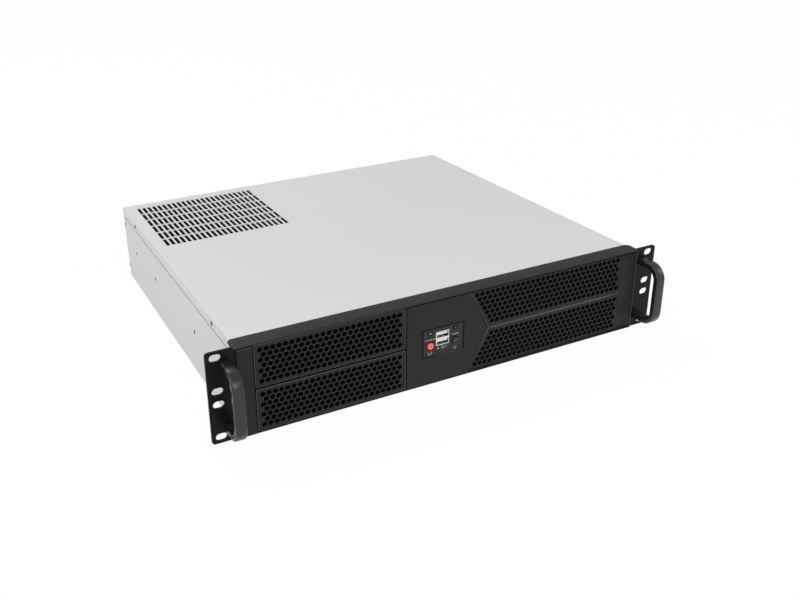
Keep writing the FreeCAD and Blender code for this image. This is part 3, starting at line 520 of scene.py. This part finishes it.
def bezel():
    """One moulding: strip, pillars, centre panel, chevron bevel, mesh field, end."""
    lo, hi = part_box("front_bezel")
    x0, x1, z0 = lo.x / MM, hi.x / MM, lo.z / MM
    top = hi.z / MM
    s = Shape()
    under = top - 1.5                      # underside of the strip's nose
    z_hi, z_lo = under - 0.1, z0
    up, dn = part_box("upper_bay_cover"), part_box("lower_bay_cover")
    gap = 0.75
    bx0, bx1 = up[0].x / MM - gap, up[1].x / MM + gap
    bz0 = dn[0].z / MM - 0.6
    il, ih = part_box("control_plate")
    px0, px1 = il.x / MM - PANEL_GAP, ih.x / MM + PANEL_GAP
    pz0, pz1 = il.z / MM - PANEL_GAP, ih.z / MM + PANEL_GAP
    field_top, field_low = z_hi - 1.3, z_lo + 1.2
    right = GRILLE_LAST + 4.0

    # centre panel, bounded on its right by the chevron's first line
    def first_line(z):
        return chevron_x(z, CHEVRON_TIP - CHEVRON_BAND, CHEVRON_SLOPE - 0.03)

    brow = z_hi - 0.9                      # top edge of the panel, below the shadow gap
    panel = [(bx1 + 0.6, z_lo), (first_line(field_low), z_lo), (first_line(field_low), field_low),
             (first_line(MID), MID), (first_line(field_top), field_top),
             (first_line(field_top), brow), (bx1 + 0.6, brow)]
    # Groove under the strip in painted shade.
    shadow = ((FACE_Y + 0.05, brow), (-0.1, brow), (-0.1, z_hi + 0.1))
    s.grid(np.array([[(x, y, z) for x in (bx0, x1 - 0.3)] for y, z in shadow]), smooth=False, mat=1)
    hole = rounded(px0, pz0, px1, pz1, 0.5)
    s.flat([panel, hole], constant(FACE_Y))
    rim(s, (px0, pz0, px1, pz1), 0.5, [(0, FACE_Y), (0, -0.9)], flip=True)
    # Dark strips in the gap along the insert's left and top edges: painted shadow.
    for x_a, z_a, x_b, z_b in ((px0, pz0, px0 + 1.9, pz1), (px0, pz1 - 1.7, px1, pz1)):
        s.flat([[(x_a, z_a), (x_b, z_a), (x_b, z_b), (x_a, z_b)]], constant(GAP_Y), mat=1)
    # Light line along the insert's lower edge: painted highlight.
    lit = ((FACE_Y - 0.03, pz0 - 0.35), (FACE_Y + 0.5, pz0 + 0.5))
    s.grid(np.array([[(x, y, z) for x in (px0 + 14.0, px1 - 1)] for y, z in lit]), smooth=False, mat=2)

    # bevel from the panel down to the mesh field, upper and lower half; its dark facets are painted shade and
    # its light facets painted highlight
    for z_a, z_b in ((field_low, MID), (MID, field_top)):
        z = np.array([z_a, z_b])
        a = np.stack([first_line(z), np.full(2, FACE_Y), z], -1)
        g = np.stack([first_line(z) + 0.7, np.full(2, FACE_Y + 0.6), z], -1)
        c = np.stack([first_line(z) + 1.3, np.full(2, FACE_Y - 0.1), z], -1)
        x_in = chevron_x(z, CHEVRON_TIP, CHEVRON_SLOPE)
        e = np.stack([x_in - 1.6, np.full(2, FACE_Y + 0.3), z], -1)
        h = np.stack([x_in - 0.8, np.full(2, FACE_Y - 0.15), z], -1)
        b = np.stack([x_in, mesh_level(x_in, z), z], -1)
        s.grid(np.array([a, g]), smooth=False, mat=1)
        s.grid(np.array([g, c]), smooth=False, mat=2)
        s.grid(np.array([c, e]), smooth=False)
        s.grid(np.array([e, h]), smooth=False, mat=2)
        s.grid(np.array([h, b]), smooth=False, mat=1)

    # two tilted mesh facets meeting in a ridge
    for sign in (1, -1):
        def first(k, sign=sign):
            return GRILLE_FIRST + PITCH / 2.0 * (k if sign > 0 else ROWS - 1 - k)
        centres = rows_of_holes(first, GRILLE_LAST, MID + sign * BAND)
        honeycomb(s, centres, mesh_level, 1.1)
        end = field_top if sign > 0 else field_low
        loop = [(chevron_x(MID, CHEVRON_TIP, CHEVRON_SLOPE) + 0.01, MID), (right, MID), (right, end),
                (chevron_x(end, CHEVRON_TIP, CHEVRON_SLOPE), end)]
        s.flat([loop, field_edge(centres)], mesh_level)
    # Crest of the ridge: its middle facets are a painted highlight line.
    crest = [(-2.7, 0.0), (-0.7, -0.3), (-0.3, -0.45), (0.4, -0.45), (0.9, -0.2), (2.7, 0.0)]
    ends = (CHEVRON_TIP - 0.3, GRILLE_LAST + 1.5)
    ridge = np.array([[(x, mesh_level(0, MID + dz) + dy, MID + dz) for x in ends] for dz, dy in crest])
    s.grid(ridge[:2], smooth=False, flip=True)
    s.grid(ridge[1:5], smooth=False, flip=True, mat=2)
    s.grid(ridge[4:], smooth=False, flip=True)

    # hollow end panel: a shallow trough between the mesh and the end pillar
    u = np.linspace(0, 1, 15)
    z = np.linspace(field_low, field_top, 9)
    xx = right + (x1 - 1.6 - right) * u
    trough = 1.15 * np.sin(np.pi * u)
    base = mesh_level(0, z)[:, None] * (1 - u) + (FACE_Y + 0.7) * u
    level = np.minimum(base + trough, -0.12)
    p = np.stack([np.broadcast_to(xx, level.shape), level, np.broadcast_to(z[:, None], level.shape)], -1)
    s.grid(p, smooth=True)
    # End pillar: a facet in painted highlight and, next to the ear, a groove in painted shade.
    pillar = [(x1 - 1.6, FACE_Y + 0.7), (x1 - 1.5, FACE_Y - 0.1), (x1 - 0.9, FACE_Y - 0.3),
              (x1 - 0.3, FACE_Y - 0.1), (x1, FACE_Y + 0.5), (x1, 0)]
    zz = np.array([z_lo, z_hi])
    p = np.array([[(x, y, z) for x, y in pillar] for z in zz])
    s.grid(p[:, :2], smooth=False)
    s.grid(p[:, 1:3], smooth=False, mat=2)
    s.grid(p[:, 2:4], smooth=False)
    s.grid(p[:, 3:], smooth=False, mat=1)

    # lips above and below the mesh field and its end
    far = x1 - 1.6
    for z_in, z_out in ((field_top, brow), (field_low, z_lo)):
        xs = np.array([first_line(z_in), chevron_x(z_in, CHEVRON_TIP, CHEVRON_SLOPE), right, far])
        inner = np.stack([xs, np.full(4, mesh_level(0, z_in)), np.full(4, z_in)], -1)
        lip = inner * [1, 0, 1] + [0, FACE_Y, 0]
        out = lip * [1, 1, 0] + [0, 0, z_out]
        s.grid(np.array([inner, lip, out]), smooth=False, flip=z_out < z_in)

    # left pillar and the frame round the bays
    left = x0 + 2.4
    post = [(left, 0), (left, FACE_Y + 0.8), (left + 0.25, FACE_Y + 0.25), (left + 0.8, FACE_Y),
            (bx0 - 0.3, FACE_Y), (bx0, FACE_Y + 0.3), (bx0, 0)]
    s.grid(np.array([[(x, y, z) for x, y in post] for z in (z_lo, z_hi - 1.9)]), smooth=False)
    # Chamfer on the pillar's top front edge in painted highlight.
    slope = ((FACE_Y - 0.02, z_hi - 1.9), (FACE_Y + 0.15, z_hi - 1.3), (FACE_Y + 0.9, z_hi - 0.9))
    cap = np.array([[(x, y, z) for x in (left + 0.4, bx0 - 0.3)] for y, z in slope])
    s.grid(cap, smooth=False, mat=2)
    s.grid(np.array([[(bx1, 0, z), (bx1, FACE_Y + 0.3, z), (bx1 + 0.3, FACE_Y, z), (bx1 + 0.6, FACE_Y, z)]
                     for z in (z_lo, z_hi)]), smooth=False)
    sill = np.array([[(bx0, 0, z_lo), (bx1, 0, z_lo)], [(bx0, FACE_Y + 0.5, z_lo), (bx1, FACE_Y + 0.5, z_lo)],
                     [(bx0, FACE_Y + 0.5, bz0), (bx1, FACE_Y + 0.5, bz0)], [(bx0, 0, bz0), (bx1, 0, bz0)]])
    s.grid(sill, smooth=False)
    base = np.array([[(x, y, z_lo) for x in (left, x1)] for y in (0.0, FACE_Y + 0.2)])
    s.grid(base, smooth=False, flip=True)

    # top strip: rounded nose, flat top, cut rear corners and end steps
    nose = FACE_Y - 0.7
    r = 0.7
    a = np.radians(np.linspace(0, 90, 6))
    ys = np.concatenate([[FACE_Y + 0.6, nose + 0.25, nose], nose + r - r * np.cos(a),
                         [CUT_START, STRIP_BACK - 0.3, STRIP_BACK]])
    zs = np.concatenate([[under, under, under + 0.25], top - r + r * np.sin(a), [top, top, top - 0.3]])
    cut = np.where(ys > CUT_START, np.minimum(ys - CUT_START, STRIP_CUT), 0.0)
    xs = [np.full(len(ys), x0) + cut, np.full(len(ys), x1) - cut]
    p = np.stack([np.stack([x, ys, zs], -1) for x in xs], 1)
    s.grid(p, smooth=True, flip=True)
    for x, flip in ((xs[0], True), (xs[1], False)):
        end = np.stack([x, ys, zs], -1)
        low = end * [1, 1, 0] + [0, 0, under]
        s.grid(np.array([low, end]), smooth=False, flip=not flip)
    tail = (x0 + STRIP_CUT, x1 - STRIP_CUT)
    back = np.array([[(x, STRIP_BACK, z) for x in tail] for z in (top - 0.3, under)])
    s.grid(back, smooth=False, flip=True)
    s.make("bezel_moulding", BEZEL_SET, replaces=["front_bezel"], slot="bezel_plastic")

    def behind(x, z):
        return np.minimum(mesh_level(x, z) + 0.85, -0.2)

    filter_pad("grille_filter", (17.0, 4.0, 199.0, 84.0), behind, 0.8)


bezel()


# ---- handles ---------------------------------------------------------------------------------
def handle(node):
    """Pull handle: a rounded rectangular section carried along a D-shaped path."""
    lo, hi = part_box(node)
    xc, w = (lo.x + hi.x) / 2 / MM, (hi.x - lo.x) / MM
    reach = (EAR_Y - lo.y) / MM
    z0, z1 = lo.z / MM, hi.z / MM
    t, r = 6.2, 16.0
    rc = r - t / 2.0
    y_f, lo_z, hi_z = -reach + t / 2.0, z0 + t / 2.0, z1 - t / 2.0
    a = np.radians(np.linspace(0, 90, 17))
    low = np.stack([y_f + rc - rc * np.sin(a), lo_z + rc - rc * np.cos(a)], -1)
    high = np.stack([y_f + rc - rc * np.cos(a), hi_z - rc + rc * np.sin(a)], -1)
    legs = np.linspace(0, y_f + rc, 5)[:-1]
    bar = np.linspace(lo_z + rc, hi_z - rc, 9)[1:-1]
    path = np.concatenate([[(y, lo_z) for y in legs], low, [(y_f, z) for z in bar], high,
                           [(y, hi_z) for y in legs[::-1]]])
    tangent = np.gradient(path, axis=0)
    tangent /= np.linalg.norm(tangent, axis=1)[:, None]
    normal = np.stack([tangent[:, 1], -tangent[:, 0]], -1)
    section = rounded(-w / 2, -t / 2, w / 2, t / 2, 1.3, 4)
    u, v = section[:, 0], section[:, 1]
    y = path[:, None, 0] + normal[:, None, 0] * v
    z = path[:, None, 1] + normal[:, None, 1] * v
    x = np.broadcast_to(xc + u, y.shape)
    s = Shape()
    s.grid(np.stack([x, y, z], -1), wrap=True, smooth=True)
    s.make(node + "_moulding", HANDLE, replaces=[node], slot="handle_plastic")


handle("left_handle")
handle("right_handle")


# ---- top cover --------------------------------------------------------------------------------
VENT_X0, VENT_X1, VENT_N, VENT_W = -200.0, -64.0, 24, 3.85
VENT_Y0, VENT_Y1, VENT_ROWS, VENT_LEN = 245.5, 376.5, 6, 20.4


def vented_top(s, xa, xb, ya, yb, top, low):
    """Flat sheet with a field of slots: cells of a grid of break lines, slots left out."""
    xc = VENT_X0 + (VENT_X1 - VENT_X0) * np.arange(VENT_N) / (VENT_N - 1)
    y0 = VENT_Y0 + (VENT_Y1 - VENT_Y0 - VENT_LEN) * np.arange(VENT_ROWS) / (VENT_ROWS - 1)
    xs = np.concatenate([[xa], np.sort(np.concatenate([xc - VENT_W / 2, xc + VENT_W / 2])), [xb]])
    ys = np.concatenate([[ya], np.sort(np.concatenate([y0, y0 + VENT_LEN])), [yb]])
    i, j = np.meshgrid(np.arange(len(xs) - 1), np.arange(len(ys) - 1), indexing="ij")
    open_cell = (i % 2 == 1) & (j % 2 == 1)
    x, y = np.meshgrid(xs, ys, indexing="ij")
    n = len(ys)
    keep = ~open_cell
    a = (i * n + j)[keep]
    quads = np.stack([a, a + n, a + n + 1, a + 1], -1)
    for z, flip in ((top, False), (low, True)):
        p = np.stack([x, y, np.full(x.shape, z)], -1)
        s.add(p, quads[:, ::-1] if flip else quads)
    hx, hy = i[open_cell], j[open_cell]
    x_a, x_b, y_a, y_b = xs[hx], xs[hx + 1], ys[hy], ys[hy + 1]
    corners = ((x_a, y_a), (x_b, y_a), (x_b, y_b), (x_a, y_b))
    ring = np.stack([np.stack(c, -1) for c in corners], 1)
    up = np.concatenate([ring, np.full(ring.shape[:2] + (1,), top)], -1)
    dn = np.concatenate([ring, np.full(ring.shape[:2] + (1,), low)], -1)
    verts = np.concatenate([up, dn], 1).reshape(-1, 3)
    base = 8 * np.arange(len(ring))[:, None, None]
    walls = np.array([[k, (k + 1) % 4, 4 + (k + 1) % 4, 4 + k] for k in range(4)])[None] + base
    s.add(verts, walls.reshape(-1, 4))


def cover():
    """Folded cover: slotted top, two rounded folds and two side flanges."""
    lo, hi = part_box("top_cover")
    x1, z0, top = hi.x / MM, lo.z / MM + 0.5, hi.z / MM
    ya, yb = (lo.y - EAR_Y) / MM, (hi.y - EAR_Y) / MM
    t, bend = 1.0, 1.9
    s = Shape()
    vented_top(s, -x1 + bend, x1 - bend, ya, yb, top, top - t)
    a = np.radians(np.linspace(90, 0, 9))
    outer = np.stack([x1 - bend + bend * np.cos(a), top - bend + bend * np.sin(a)], -1)
    inner = np.stack([x1 - bend + (bend - t) * np.cos(a), top - bend + (bend - t) * np.sin(a)], -1)
    ys = np.linspace(ya, yb, 5)
    for side in (1, -1):
        skin = np.concatenate([outer, [(x1, z0 + 0.2)]])
        fold = np.array([[(side * x, y, z) for y in ys] for x, z in skin])
        s.grid(fold, smooth=True, flip=side < 0)
        ins = np.array([[(side * x, y, z) for y in ys] for x, z in np.concatenate([inner, [(x1 - t, z0)]])])
        s.grid(ins, smooth=True, flip=side > 0)
        toe = ((x1, z0 + 0.2), (x1 - 0.2, z0), (x1 - t, z0))
        foot = np.array([[(side * x, y, z) for y in ys] for x, z in toe])
        s.grid(foot, smooth=False, flip=side < 0)
        for y, flip in ((ya, side > 0), (yb, side < 0)):
            ring_o = np.concatenate([outer, [(x1, z0)]])
            ring_i = np.concatenate([inner, [(x1 - t, z0)]])
            p = np.array([[(side * x, y, z) for x, z in ring_o], [(side * x, y, z) for x, z in ring_i]])
            s.grid(p, smooth=False, flip=not flip)
    for y, flip in ((ya, False), (yb, True)):
        p = np.array([[(x, y, z) for x in (-x1 + bend, x1 - bend)] for z in (top, top - t)])
        s.grid(p, smooth=False, flip=not flip)
    s.make("cover_sheet", PALE, replaces=["top_cover"], slot="case_steel")


cover()


def vent_filter():
    """Thin near-black sheet under the cover's slots, partly painted shade seen through them, gently waved."""
    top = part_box("top_cover")[1].z / MM - 1.2
    x = np.linspace(VENT_X0 - 5, VENT_X1 + 5, 50)
    y = np.linspace(VENT_Y0 - 4, VENT_Y1 + 4, 40)
    u, v = np.meshgrid(x, y)
    z = top - 0.2 - 0.08 * np.sin(u / 3.1) * np.sin(v / 2.7)
    s = Shape()
    p = np.stack([u, v, z], -1)
    low = p * [1, 1, 0] + [0, 0, top - 1.0]
    s.grid(p, smooth=True)
    s.grid(low, smooth=False, flip=True)
    ring = np.concatenate([p[0], p[1:, -1], p[-1, -2::-1], p[-2:0:-1, 0]])
    s.grid(np.array([ring, ring * [1, 1, 0] + [0, 0, top - 1.0]]), wrap=True, smooth=False, flip=True)
    s.make("vent_filter", SHADE_FOAM, slot="bezel_plastic")


vent_filter()


# ---- small round parts ------------------------------------------------------------------------
def turned(s, cx, cz, profile, n=40):
    """Surface of revolution about a line along Y through (cx, cz): profile is (radius, y)."""
    a = np.linspace(0, 2 * np.pi, n, endpoint=False)
    r = np.array([p[0] for p in profile])[:, None]
    y = np.array([p[1] for p in profile])[:, None]
    p = np.stack([cx + r * np.cos(a), np.broadcast_to(y, (len(profile), n)), cz + r * np.sin(a)], -1)
    return s.grid(p, wrap=True, smooth=True)


def button(node, mat, slot):
    """Button cap: shallow dished dome with a rounded edge, on a collared stem."""
    lo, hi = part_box(node)
    cx, cz = (lo.x + hi.x) / 2 / MM, (lo.z + hi.z) / 2 / MM
    y0, y1 = (lo.y - EAR_Y) / MM, (hi.y - EAR_Y) / MM
    r, collar = 3.3, (hi.x - lo.x) / 2 / MM
    q = np.linspace(0.01, 1.0, 8) * (r - 0.6)
    dish = [(x, y0 + 0.12 + 0.22 * (1 - (x / r) ** 2)) for x in q]
    a = np.radians(np.linspace(0, 90, 6))
    edge = [(r - 0.6 + 0.6 * math.sin(t), y0 + 0.7 - 0.6 * math.cos(t)) for t in a]
    back = [(r, y1 - 0.8), (collar, y1 - 0.8), (collar, y1), (0.02, y1)]
    s = Shape()
    turned(s, cx, cz, dish + edge + back)
    s.make(node + "_cap", mat, body=node, replaces=[node], slot=slot)


def lamp(node, mat, slot, core):
    """Lamp: small domed lens of radius core on a plain stem."""
    lo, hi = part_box(node)
    cx, cz = (lo.x + hi.x) / 2 / MM, (lo.z + hi.z) / 2 / MM
    y0, y1 = (lo.y - EAR_Y) / MM, (hi.y - EAR_Y) / MM
    a = np.radians(np.linspace(1, 90, 9))
    lens = [(core * math.sin(t), y0 + core * 0.8 * (1 - math.cos(t))) for t in a]
    s = Shape()
    turned(s, cx, cz, lens + [(core, 2.0), (1.95, 2.0), (1.95, y1), (0.02, y1)], 28)
    s.make(node + "_lens", mat, replaces=[node], slot=slot)


def collar(name, node, mat, inner, outer, lip):
    """Ring seated on the insert round a lamp or button: a low rounded lip."""
    lo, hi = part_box(node)
    cx, cz = (lo.x + hi.x) / 2 / MM, (lo.z + hi.z) / 2 / MM
    face = (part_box("control_plate")[0].y - EAR_Y) / MM
    s = Shape()
    ring = [(inner, face + 0.6), (inner, face - lip + 0.1), (inner + 0.15, face - lip)]
    ring += [(outer - 0.2, face - lip), (outer, face - lip + 0.15), (outer, face + 0.2)]
    turned(s, cx, cz, ring, 36)
    s.make(name, mat, slot="insert_plastic")


button("power_button", RED, "red_button")
button("reset_button", BLACK_CAP, "black_button")
lamp("power_led", GREEN, "green_lens", 1.35)
lamp("drive_led", AMBER, "amber_lens", 0.85)
collar("power_lamp_holder", "power_led", GREEN_DARK, 1.35, 2.9, 0.12)
collar("drive_lamp_holder", "drive_led", BROWN_DARK, 0.85, 2.6, 0.12)
# Dark rings round the two buttons: painted shade at their rims.
collar("power_button_shade_ring", "power_button", RED_RIM_SHADE, 3.4, 4.1, 0.25)
collar("reset_button_shade_ring", "reset_button", PAINTED_SHADE, 3.4, 4.0, 0.2)


def socket_shell():
    """Plated double shell with two openings, rolled front edges."""
    lo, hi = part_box("usb_shell")
    x0, x1, z0, z1 = lo.x / MM, hi.x / MM, lo.z / MM, hi.z / MM
    y0, y1 = (lo.y - EAR_Y) / MM, (hi.y - EAR_Y) / MM
    s = Shape()
    rim(s, (x0, z0, x1, z1), 0.9, [(i, y0 + d) for i, d in round_over(0.3)] + [(0, y1), (2.0, y1)])
    mid = (z0 + z1) / 2
    ports = [(x0 + 0.75, mid + 0.8, x1 - 0.75, z1 - 0.75), (x0 + 0.75, z0 + 0.75, x1 - 0.75, mid - 0.8)]
    loops = [rounded(x0 + 0.3, z0 + 0.3, x1 - 0.3, z1 - 0.3, 0.6)]
    loops += [rounded(*p, 0.35) for p in ports]
    s.flat(loops, constant(y0))
    for p in ports:
        rim(s, p, 0.35, [(0, y0), (0, y1 - 0.6)], flip=True)
    s.make("socket_shell", SHELL, replaces=["usb_shell"], slot="socket_shell")


socket_shell()


# ---- cover screws ------------------------------------------------------------------------------
def cover_screws():
    """Low domed heads: a polar disc of fourth-power profile, sunk where the cross recess runs."""
    lo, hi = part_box("cover_screws")
    zc = (lo.z + hi.z) / 2 / MM
    rad = (hi.z - lo.z) / 2 / MM
    ys = [(lo.y - EAR_Y) / MM + rad, (hi.y - EAR_Y) / MM - rad]
    x_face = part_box("top_cover")[1].x / MM
    s = Shape()
    a = np.linspace(0, 2 * np.pi, 48, endpoint=False)
    q = np.concatenate([np.linspace(0.02, 1.0, 15), [1.0]])
    r = (q * rad)[:, None]
    u, v = r * np.cos(a), r * np.sin(a)
    bar = np.maximum(np.exp(-(u / 0.42) ** 4), np.exp(-(v / 0.42) ** 4)) * (r < 0.66 * rad)
    rise = 0.15 + 0.55 * (1 - (r / rad) ** 4) - 0.5 * bar
    rise[-1] = -0.3
    for y in ys:
        for side in (1, -1):
            p = np.stack([side * (x_face + rise), y + u, zc + v], -1)
            s.grid(p, wrap=True, smooth=False, flip=side < 0)
    s.make("cover_screw_heads", DULL, replaces=["cover_screws"], slot="fastener_steel")


cover_screws()


def sideways(s, y, z, side, x_face, profile, n=24):
    """Surface of revolution about a line along X: profile is (radius, depth into the wall)."""
    a = np.linspace(0, 2 * np.pi, n, endpoint=False)
    r = np.array([p[0] for p in profile])[:, None]
    d = np.array([p[1] for p in profile])[:, None]
    x = np.broadcast_to(side * (x_face - d), (len(profile), n))
    p = np.stack([x, y + r * np.cos(a), z + r * np.sin(a)], -1)
    s.grid(p, wrap=True, smooth=False, flip=side < 0)


def wall_fasteners():
    """Domed rivets at the rear edge, blind clinch nuts behind the holes for slide rails; the nuts are
    near-black painted shade that darkens the holes.
    """
    lo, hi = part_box("corner_rivets")
    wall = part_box("chassis_tray")[1].x / MM
    back = (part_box("chassis_tray")[1].y - EAR_Y) / MM
    rad = (hi.y - lo.y) / 2 / MM
    s, nuts = Shape(), Shape()
    a = np.radians(np.linspace(2, 88, 7))
    dome = [(1.2 * rad * math.sin(t), -0.55 * math.cos(t)) for t in a]
    dome += [(1.2 * rad, 0.05), (rad, 0.1), (rad, 1.0)]
    bore = [(1.98, 0.12), (1.5, 0.3), (1.5, 3.2), (0.02, 3.2)]
    shell = [(1.98, 0.12), (1.98, 1.0), (3.3, 1.02), (3.3, 3.4), (0.02, 3.4)]
    for side in (1, -1):
        for z in (lo.z / MM + rad, hi.z / MM - rad):
            sideways(s, (lo.y + hi.y) / 2 / MM - EAR_Y / MM, z, side, wall, dome)
        for ahead in NUTS_BACK:
            for profile in (bore, shell):
                sideways(nuts, back - ahead, MID + 1.95, side, wall, profile)
    s.make("rivet_heads", DULL, replaces=["corner_rivets"], slot="fastener_steel")
    nuts.make("rail_nuts", PAINTED_SHADE, slot="fastener_steel")


def seam_shade_strip():
    """Near-black strips of painted shade in the grooves below the cover's flanges, slightly wavy outside."""
    lo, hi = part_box("top_cover")
    x1, z0 = hi.x / MM, lo.z / MM
    y = np.linspace((lo.y - EAR_Y) / MM + 1, (hi.y - EAR_Y) / MM - 1, 90)
    wave = 0.04 * np.sin(y / 5.0)
    s = Shape()
    for side in (1, -1):
        face = side * (x1 - 0.3 + wave)
        rear = side * np.full(len(y), x1 - 0.58)
        ring = [np.stack([x, y, np.full(len(y), z)], -1) for x, z in
                ((rear, z0 - 0.45), (face, z0 - 0.45), (face, z0 + 0.35), (rear, z0 + 0.35))]
        s.grid(np.array(ring), smooth=False, flip=side < 0)
    s.make("seam_shade_strip", SHADE_FOAM, slot="bezel_plastic")


wall_fasteners()
seam_shade_strip()


# ---- printed marks of the insert -----------------------------------------------------------------
def marks():
    """Small generic marks: dashes under the lamps, ring and stroke, bracket."""
    face = (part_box("control_plate")[0].y - EAR_Y) / MM - 0.03
    s = Shape()
    zb = (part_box("power_button")[0].z) / MM
    px = (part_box("power_button")[0].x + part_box("power_button")[1].x) / 2 / MM
    rx = (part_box("reset_button")[0].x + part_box("reset_button")[1].x) / 2 / MM
    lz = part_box("power_led")[0].z / MM

    def bar(x0, z0, x1, z1):
        s.flat([[(x0, z0), (x1, z0), (x1, z1), (x0, z1)]], constant(face))

    def word(x, z, n, step, tall):
        """Row of n short dashes of uneven height."""
        for k in range(n):
            q = x + (k - (n - 1) / 2.0) * step
            h = tall * (0.5 - 0.12 * (k % 2))
            bar(q - 0.36 * step, z - h, q + 0.36 * step, z + h)

    word(px, (lz + zb + 6.6) / 2 - 0.2, 7, 1.55, 1.1)
    word(rx + 0.4, (lz + zb + 6.6) / 2 - 0.1, 5, 1.5, 1.35)
    a = np.radians(np.linspace(-235, 55, 21))

    def arc(x, z, angles, radii):
        s.grid(np.array([[(x + r * math.cos(t), face, z + r * math.sin(t)) for t in angles] for r in radii]),
               smooth=False)

    arc(px, zb - 3.3, a, (1.5, 2.05))
    for x0, z0, x1, z1 in ((-1.5, -5.2, 1.5, -4.6), (-1.5, -5.2, -0.9, -2.4), (0.9, -5.2, 1.5, -2.4)):
        bar(rx + x0, zb + z0, rx + x1, zb + z1)
    ux = (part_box("usb_shell")[0].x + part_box("usb_shell")[1].x) / 2 / MM
    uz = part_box("usb_shell")[0].z / MM
    arc(ux - 4.4, uz - 3.2, np.linspace(0, 2 * np.pi, 13), (0.05, 1.0))
    for x0, z0, x1, z1 in ((-0.8, -2.6, 1.2, -1.5), (1.2, -4.0, 3.2, -3.0),
                           (3.6, -2.9, 5.0, -1.9), (-1.2, -4.4, 0.4, -3.7)):
        bar(ux + x0, uz + z0, ux + x1, uz + z1)
    s.make("insert_marks", PRINT, slot="socket_plastic")


marks()

# ---- finishes of the pieces that keep their own shape ---------------------------------------------
FINISH = {
    "chassis_tray": PALE, "rear_panel": PALE, "front_plate": BLACK_STEEL, "control_plate": INSERT,
    "slot_covers": ZINC, "slot_clamp": ZINC, "drive_cage": ZINC, "fan_bracket": ZINC, "psu_stop": ZINC,
    "slot_screws": SCREW, "cage_screws": SCREW, "handle_screws": SCREW,
    "usb_tongues": WHITE, "control_board": BOARD, "control_switches": BLACK_CAP, "standoffs": BRASS,
}
for name, finish in FINISH.items():
    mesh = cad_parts[name].data
    mesh.materials.clear()
    mesh.materials.append(finish)


# ---- stage: floor, light, camera --------------------------------------------------------------------
FLOOR_GLOW = 0.97        # share of the floor that the camera sees as plain white
SKY_FILL = 0.55          # strength of the surroundings as light


def stage():
    """Pale floor that keeps a soft shadow, and white surroundings."""
    floor = bpy.data.meshes.new("studio_floor")
    h = 40.0
    floor.from_pydata([(-h, -h, 0), (h, -h, 0), (h, h, 0), (-h, h, 0)], [], [(0, 1, 2, 3)])
    obj = bpy.data.objects.new("studio_floor", floor)
    bpy.context.scene.collection.objects.link(obj)
    obj.location.z = -0.0002
    m = bpy.data.materials.new("studio_white")
    m.use_nodes = True
    t = m.node_tree
    t.nodes.clear()
    out = t.nodes.new("ShaderNodeOutputMaterial")
    diffuse = t.nodes.new("ShaderNodeBsdfDiffuse")
    diffuse.inputs["Color"].default_value = tint(0.86, 0.86, 0.86)
    glow = t.nodes.new("ShaderNodeEmission")
    glow.inputs["Strength"].default_value = 1.0
    path = t.nodes.new("ShaderNodeLightPath")
    seen = math_node(t, "MAXIMUM", path.outputs["Is Camera Ray"], path.outputs["Is Glossy Ray"])
    seen = math_node(t, "MAXIMUM", seen, path.outputs["Is Transmission Ray"])
    mix = t.nodes.new("ShaderNodeMixShader")
    link(t, math_node(t, "MULTIPLY", seen, FLOOR_GLOW), mix.inputs[0])
    link(t, diffuse.outputs[0], mix.inputs[1])
    link(t, glow.outputs[0], mix.inputs[2])
    link(t, mix.outputs[0], out.inputs[0])
    floor.materials.append(m)

    world = bpy.data.worlds.new("studio_sky")
    bpy.context.scene.world = world
    world.use_nodes = True
    t = world.node_tree
    bg = t.nodes["Background"]
    bg.inputs["Color"].default_value = tint(1.0, 1.0, 1.0)
    path = t.nodes.new("ShaderNodeLightPath")
    seen = math_node(t, "MAXIMUM", path.outputs["Is Camera Ray"], path.outputs["Is Transmission Ray"])
    strength = math_node(t, "ADD", math_node(t, "MULTIPLY", seen, 1.0 - SKY_FILL), SKY_FILL)
    link(t, strength, bg.inputs["Strength"])


def lamp_area(name, place, aim, size, power):
    """Soft square area lamp at a place, aimed at a point, in metres."""
    data = bpy.data.lights.new(name, "AREA")
    data.shape = "SQUARE"
    data.size = size
    data.energy = power
    obj = bpy.data.objects.new(name, data)
    bpy.context.scene.collection.objects.link(obj)
    obj.location = place
    obj.rotation_mode = "QUATERNION"
    obj.rotation_quaternion = (Vector(aim) - Vector(place)).to_track_quat("-Z", "Y")


stage()
lamp_area("key_lamp", (-1.75, -0.7, 1.9), (0, 0, 0.05), 1.0, 19.0)
lamp_area("front_lamp", (-0.2, -2.2, 1.2), (0, 0, 0.05), 1.2, 14.0)
lamp_area("rim_lamp", (-0.3, 1.8, 2.1), (0, 0, 0.05), 0.8, 17.0)
lamp_area("side_lamp", (1.8, -0.8, 0.9), (0, 0, 0.05), 1.0, 8.0)

# camera, as an angle round the case, an angle above it and a small roll
CAM_AT = (-413.7, -626.6, 442.3)
CAM_AZ, CAM_EL, CAM_ROLL = (math.radians(v) for v in (-25.47, 23.11, -1.45))
LENS, SENSOR = 40.3, 36.0
SHIFT_X, SHIFT_Y = 0.073, -0.051


def camera():
    """Camera in front of the case's left corner, looking slightly down."""
    data = bpy.data.cameras.new("camera")
    data.sensor_width = SENSOR
    data.lens = LENS
    data.shift_x = SHIFT_X
    data.shift_y = SHIFT_Y
    obj = bpy.data.objects.new("camera", data)
    bpy.context.scene.collection.objects.link(obj)
    ca, sa, cb, sb = math.cos(CAM_AZ), math.sin(CAM_AZ), math.cos(CAM_EL), math.sin(CAM_EL)
    ahead = Vector((-sa * cb, ca * cb, -sb))
    right = Vector((ca, sa, 0.0))
    up = right.cross(ahead)
    c, s = math.cos(CAM_ROLL), math.sin(CAM_ROLL)
    r2, u2 = c * right + s * up, c * up - s * right
    turn = Matrix((r2, u2, -ahead)).transposed().to_4x4()
    x, y, z = (v * MM for v in CAM_AT)
    obj.matrix_world = Matrix.Translation((x, y + EAR_Y, z)) @ turn
    bpy.context.scene.camera = obj


camera()
bpy.context.scene.view_settings.view_transform = "Standard"
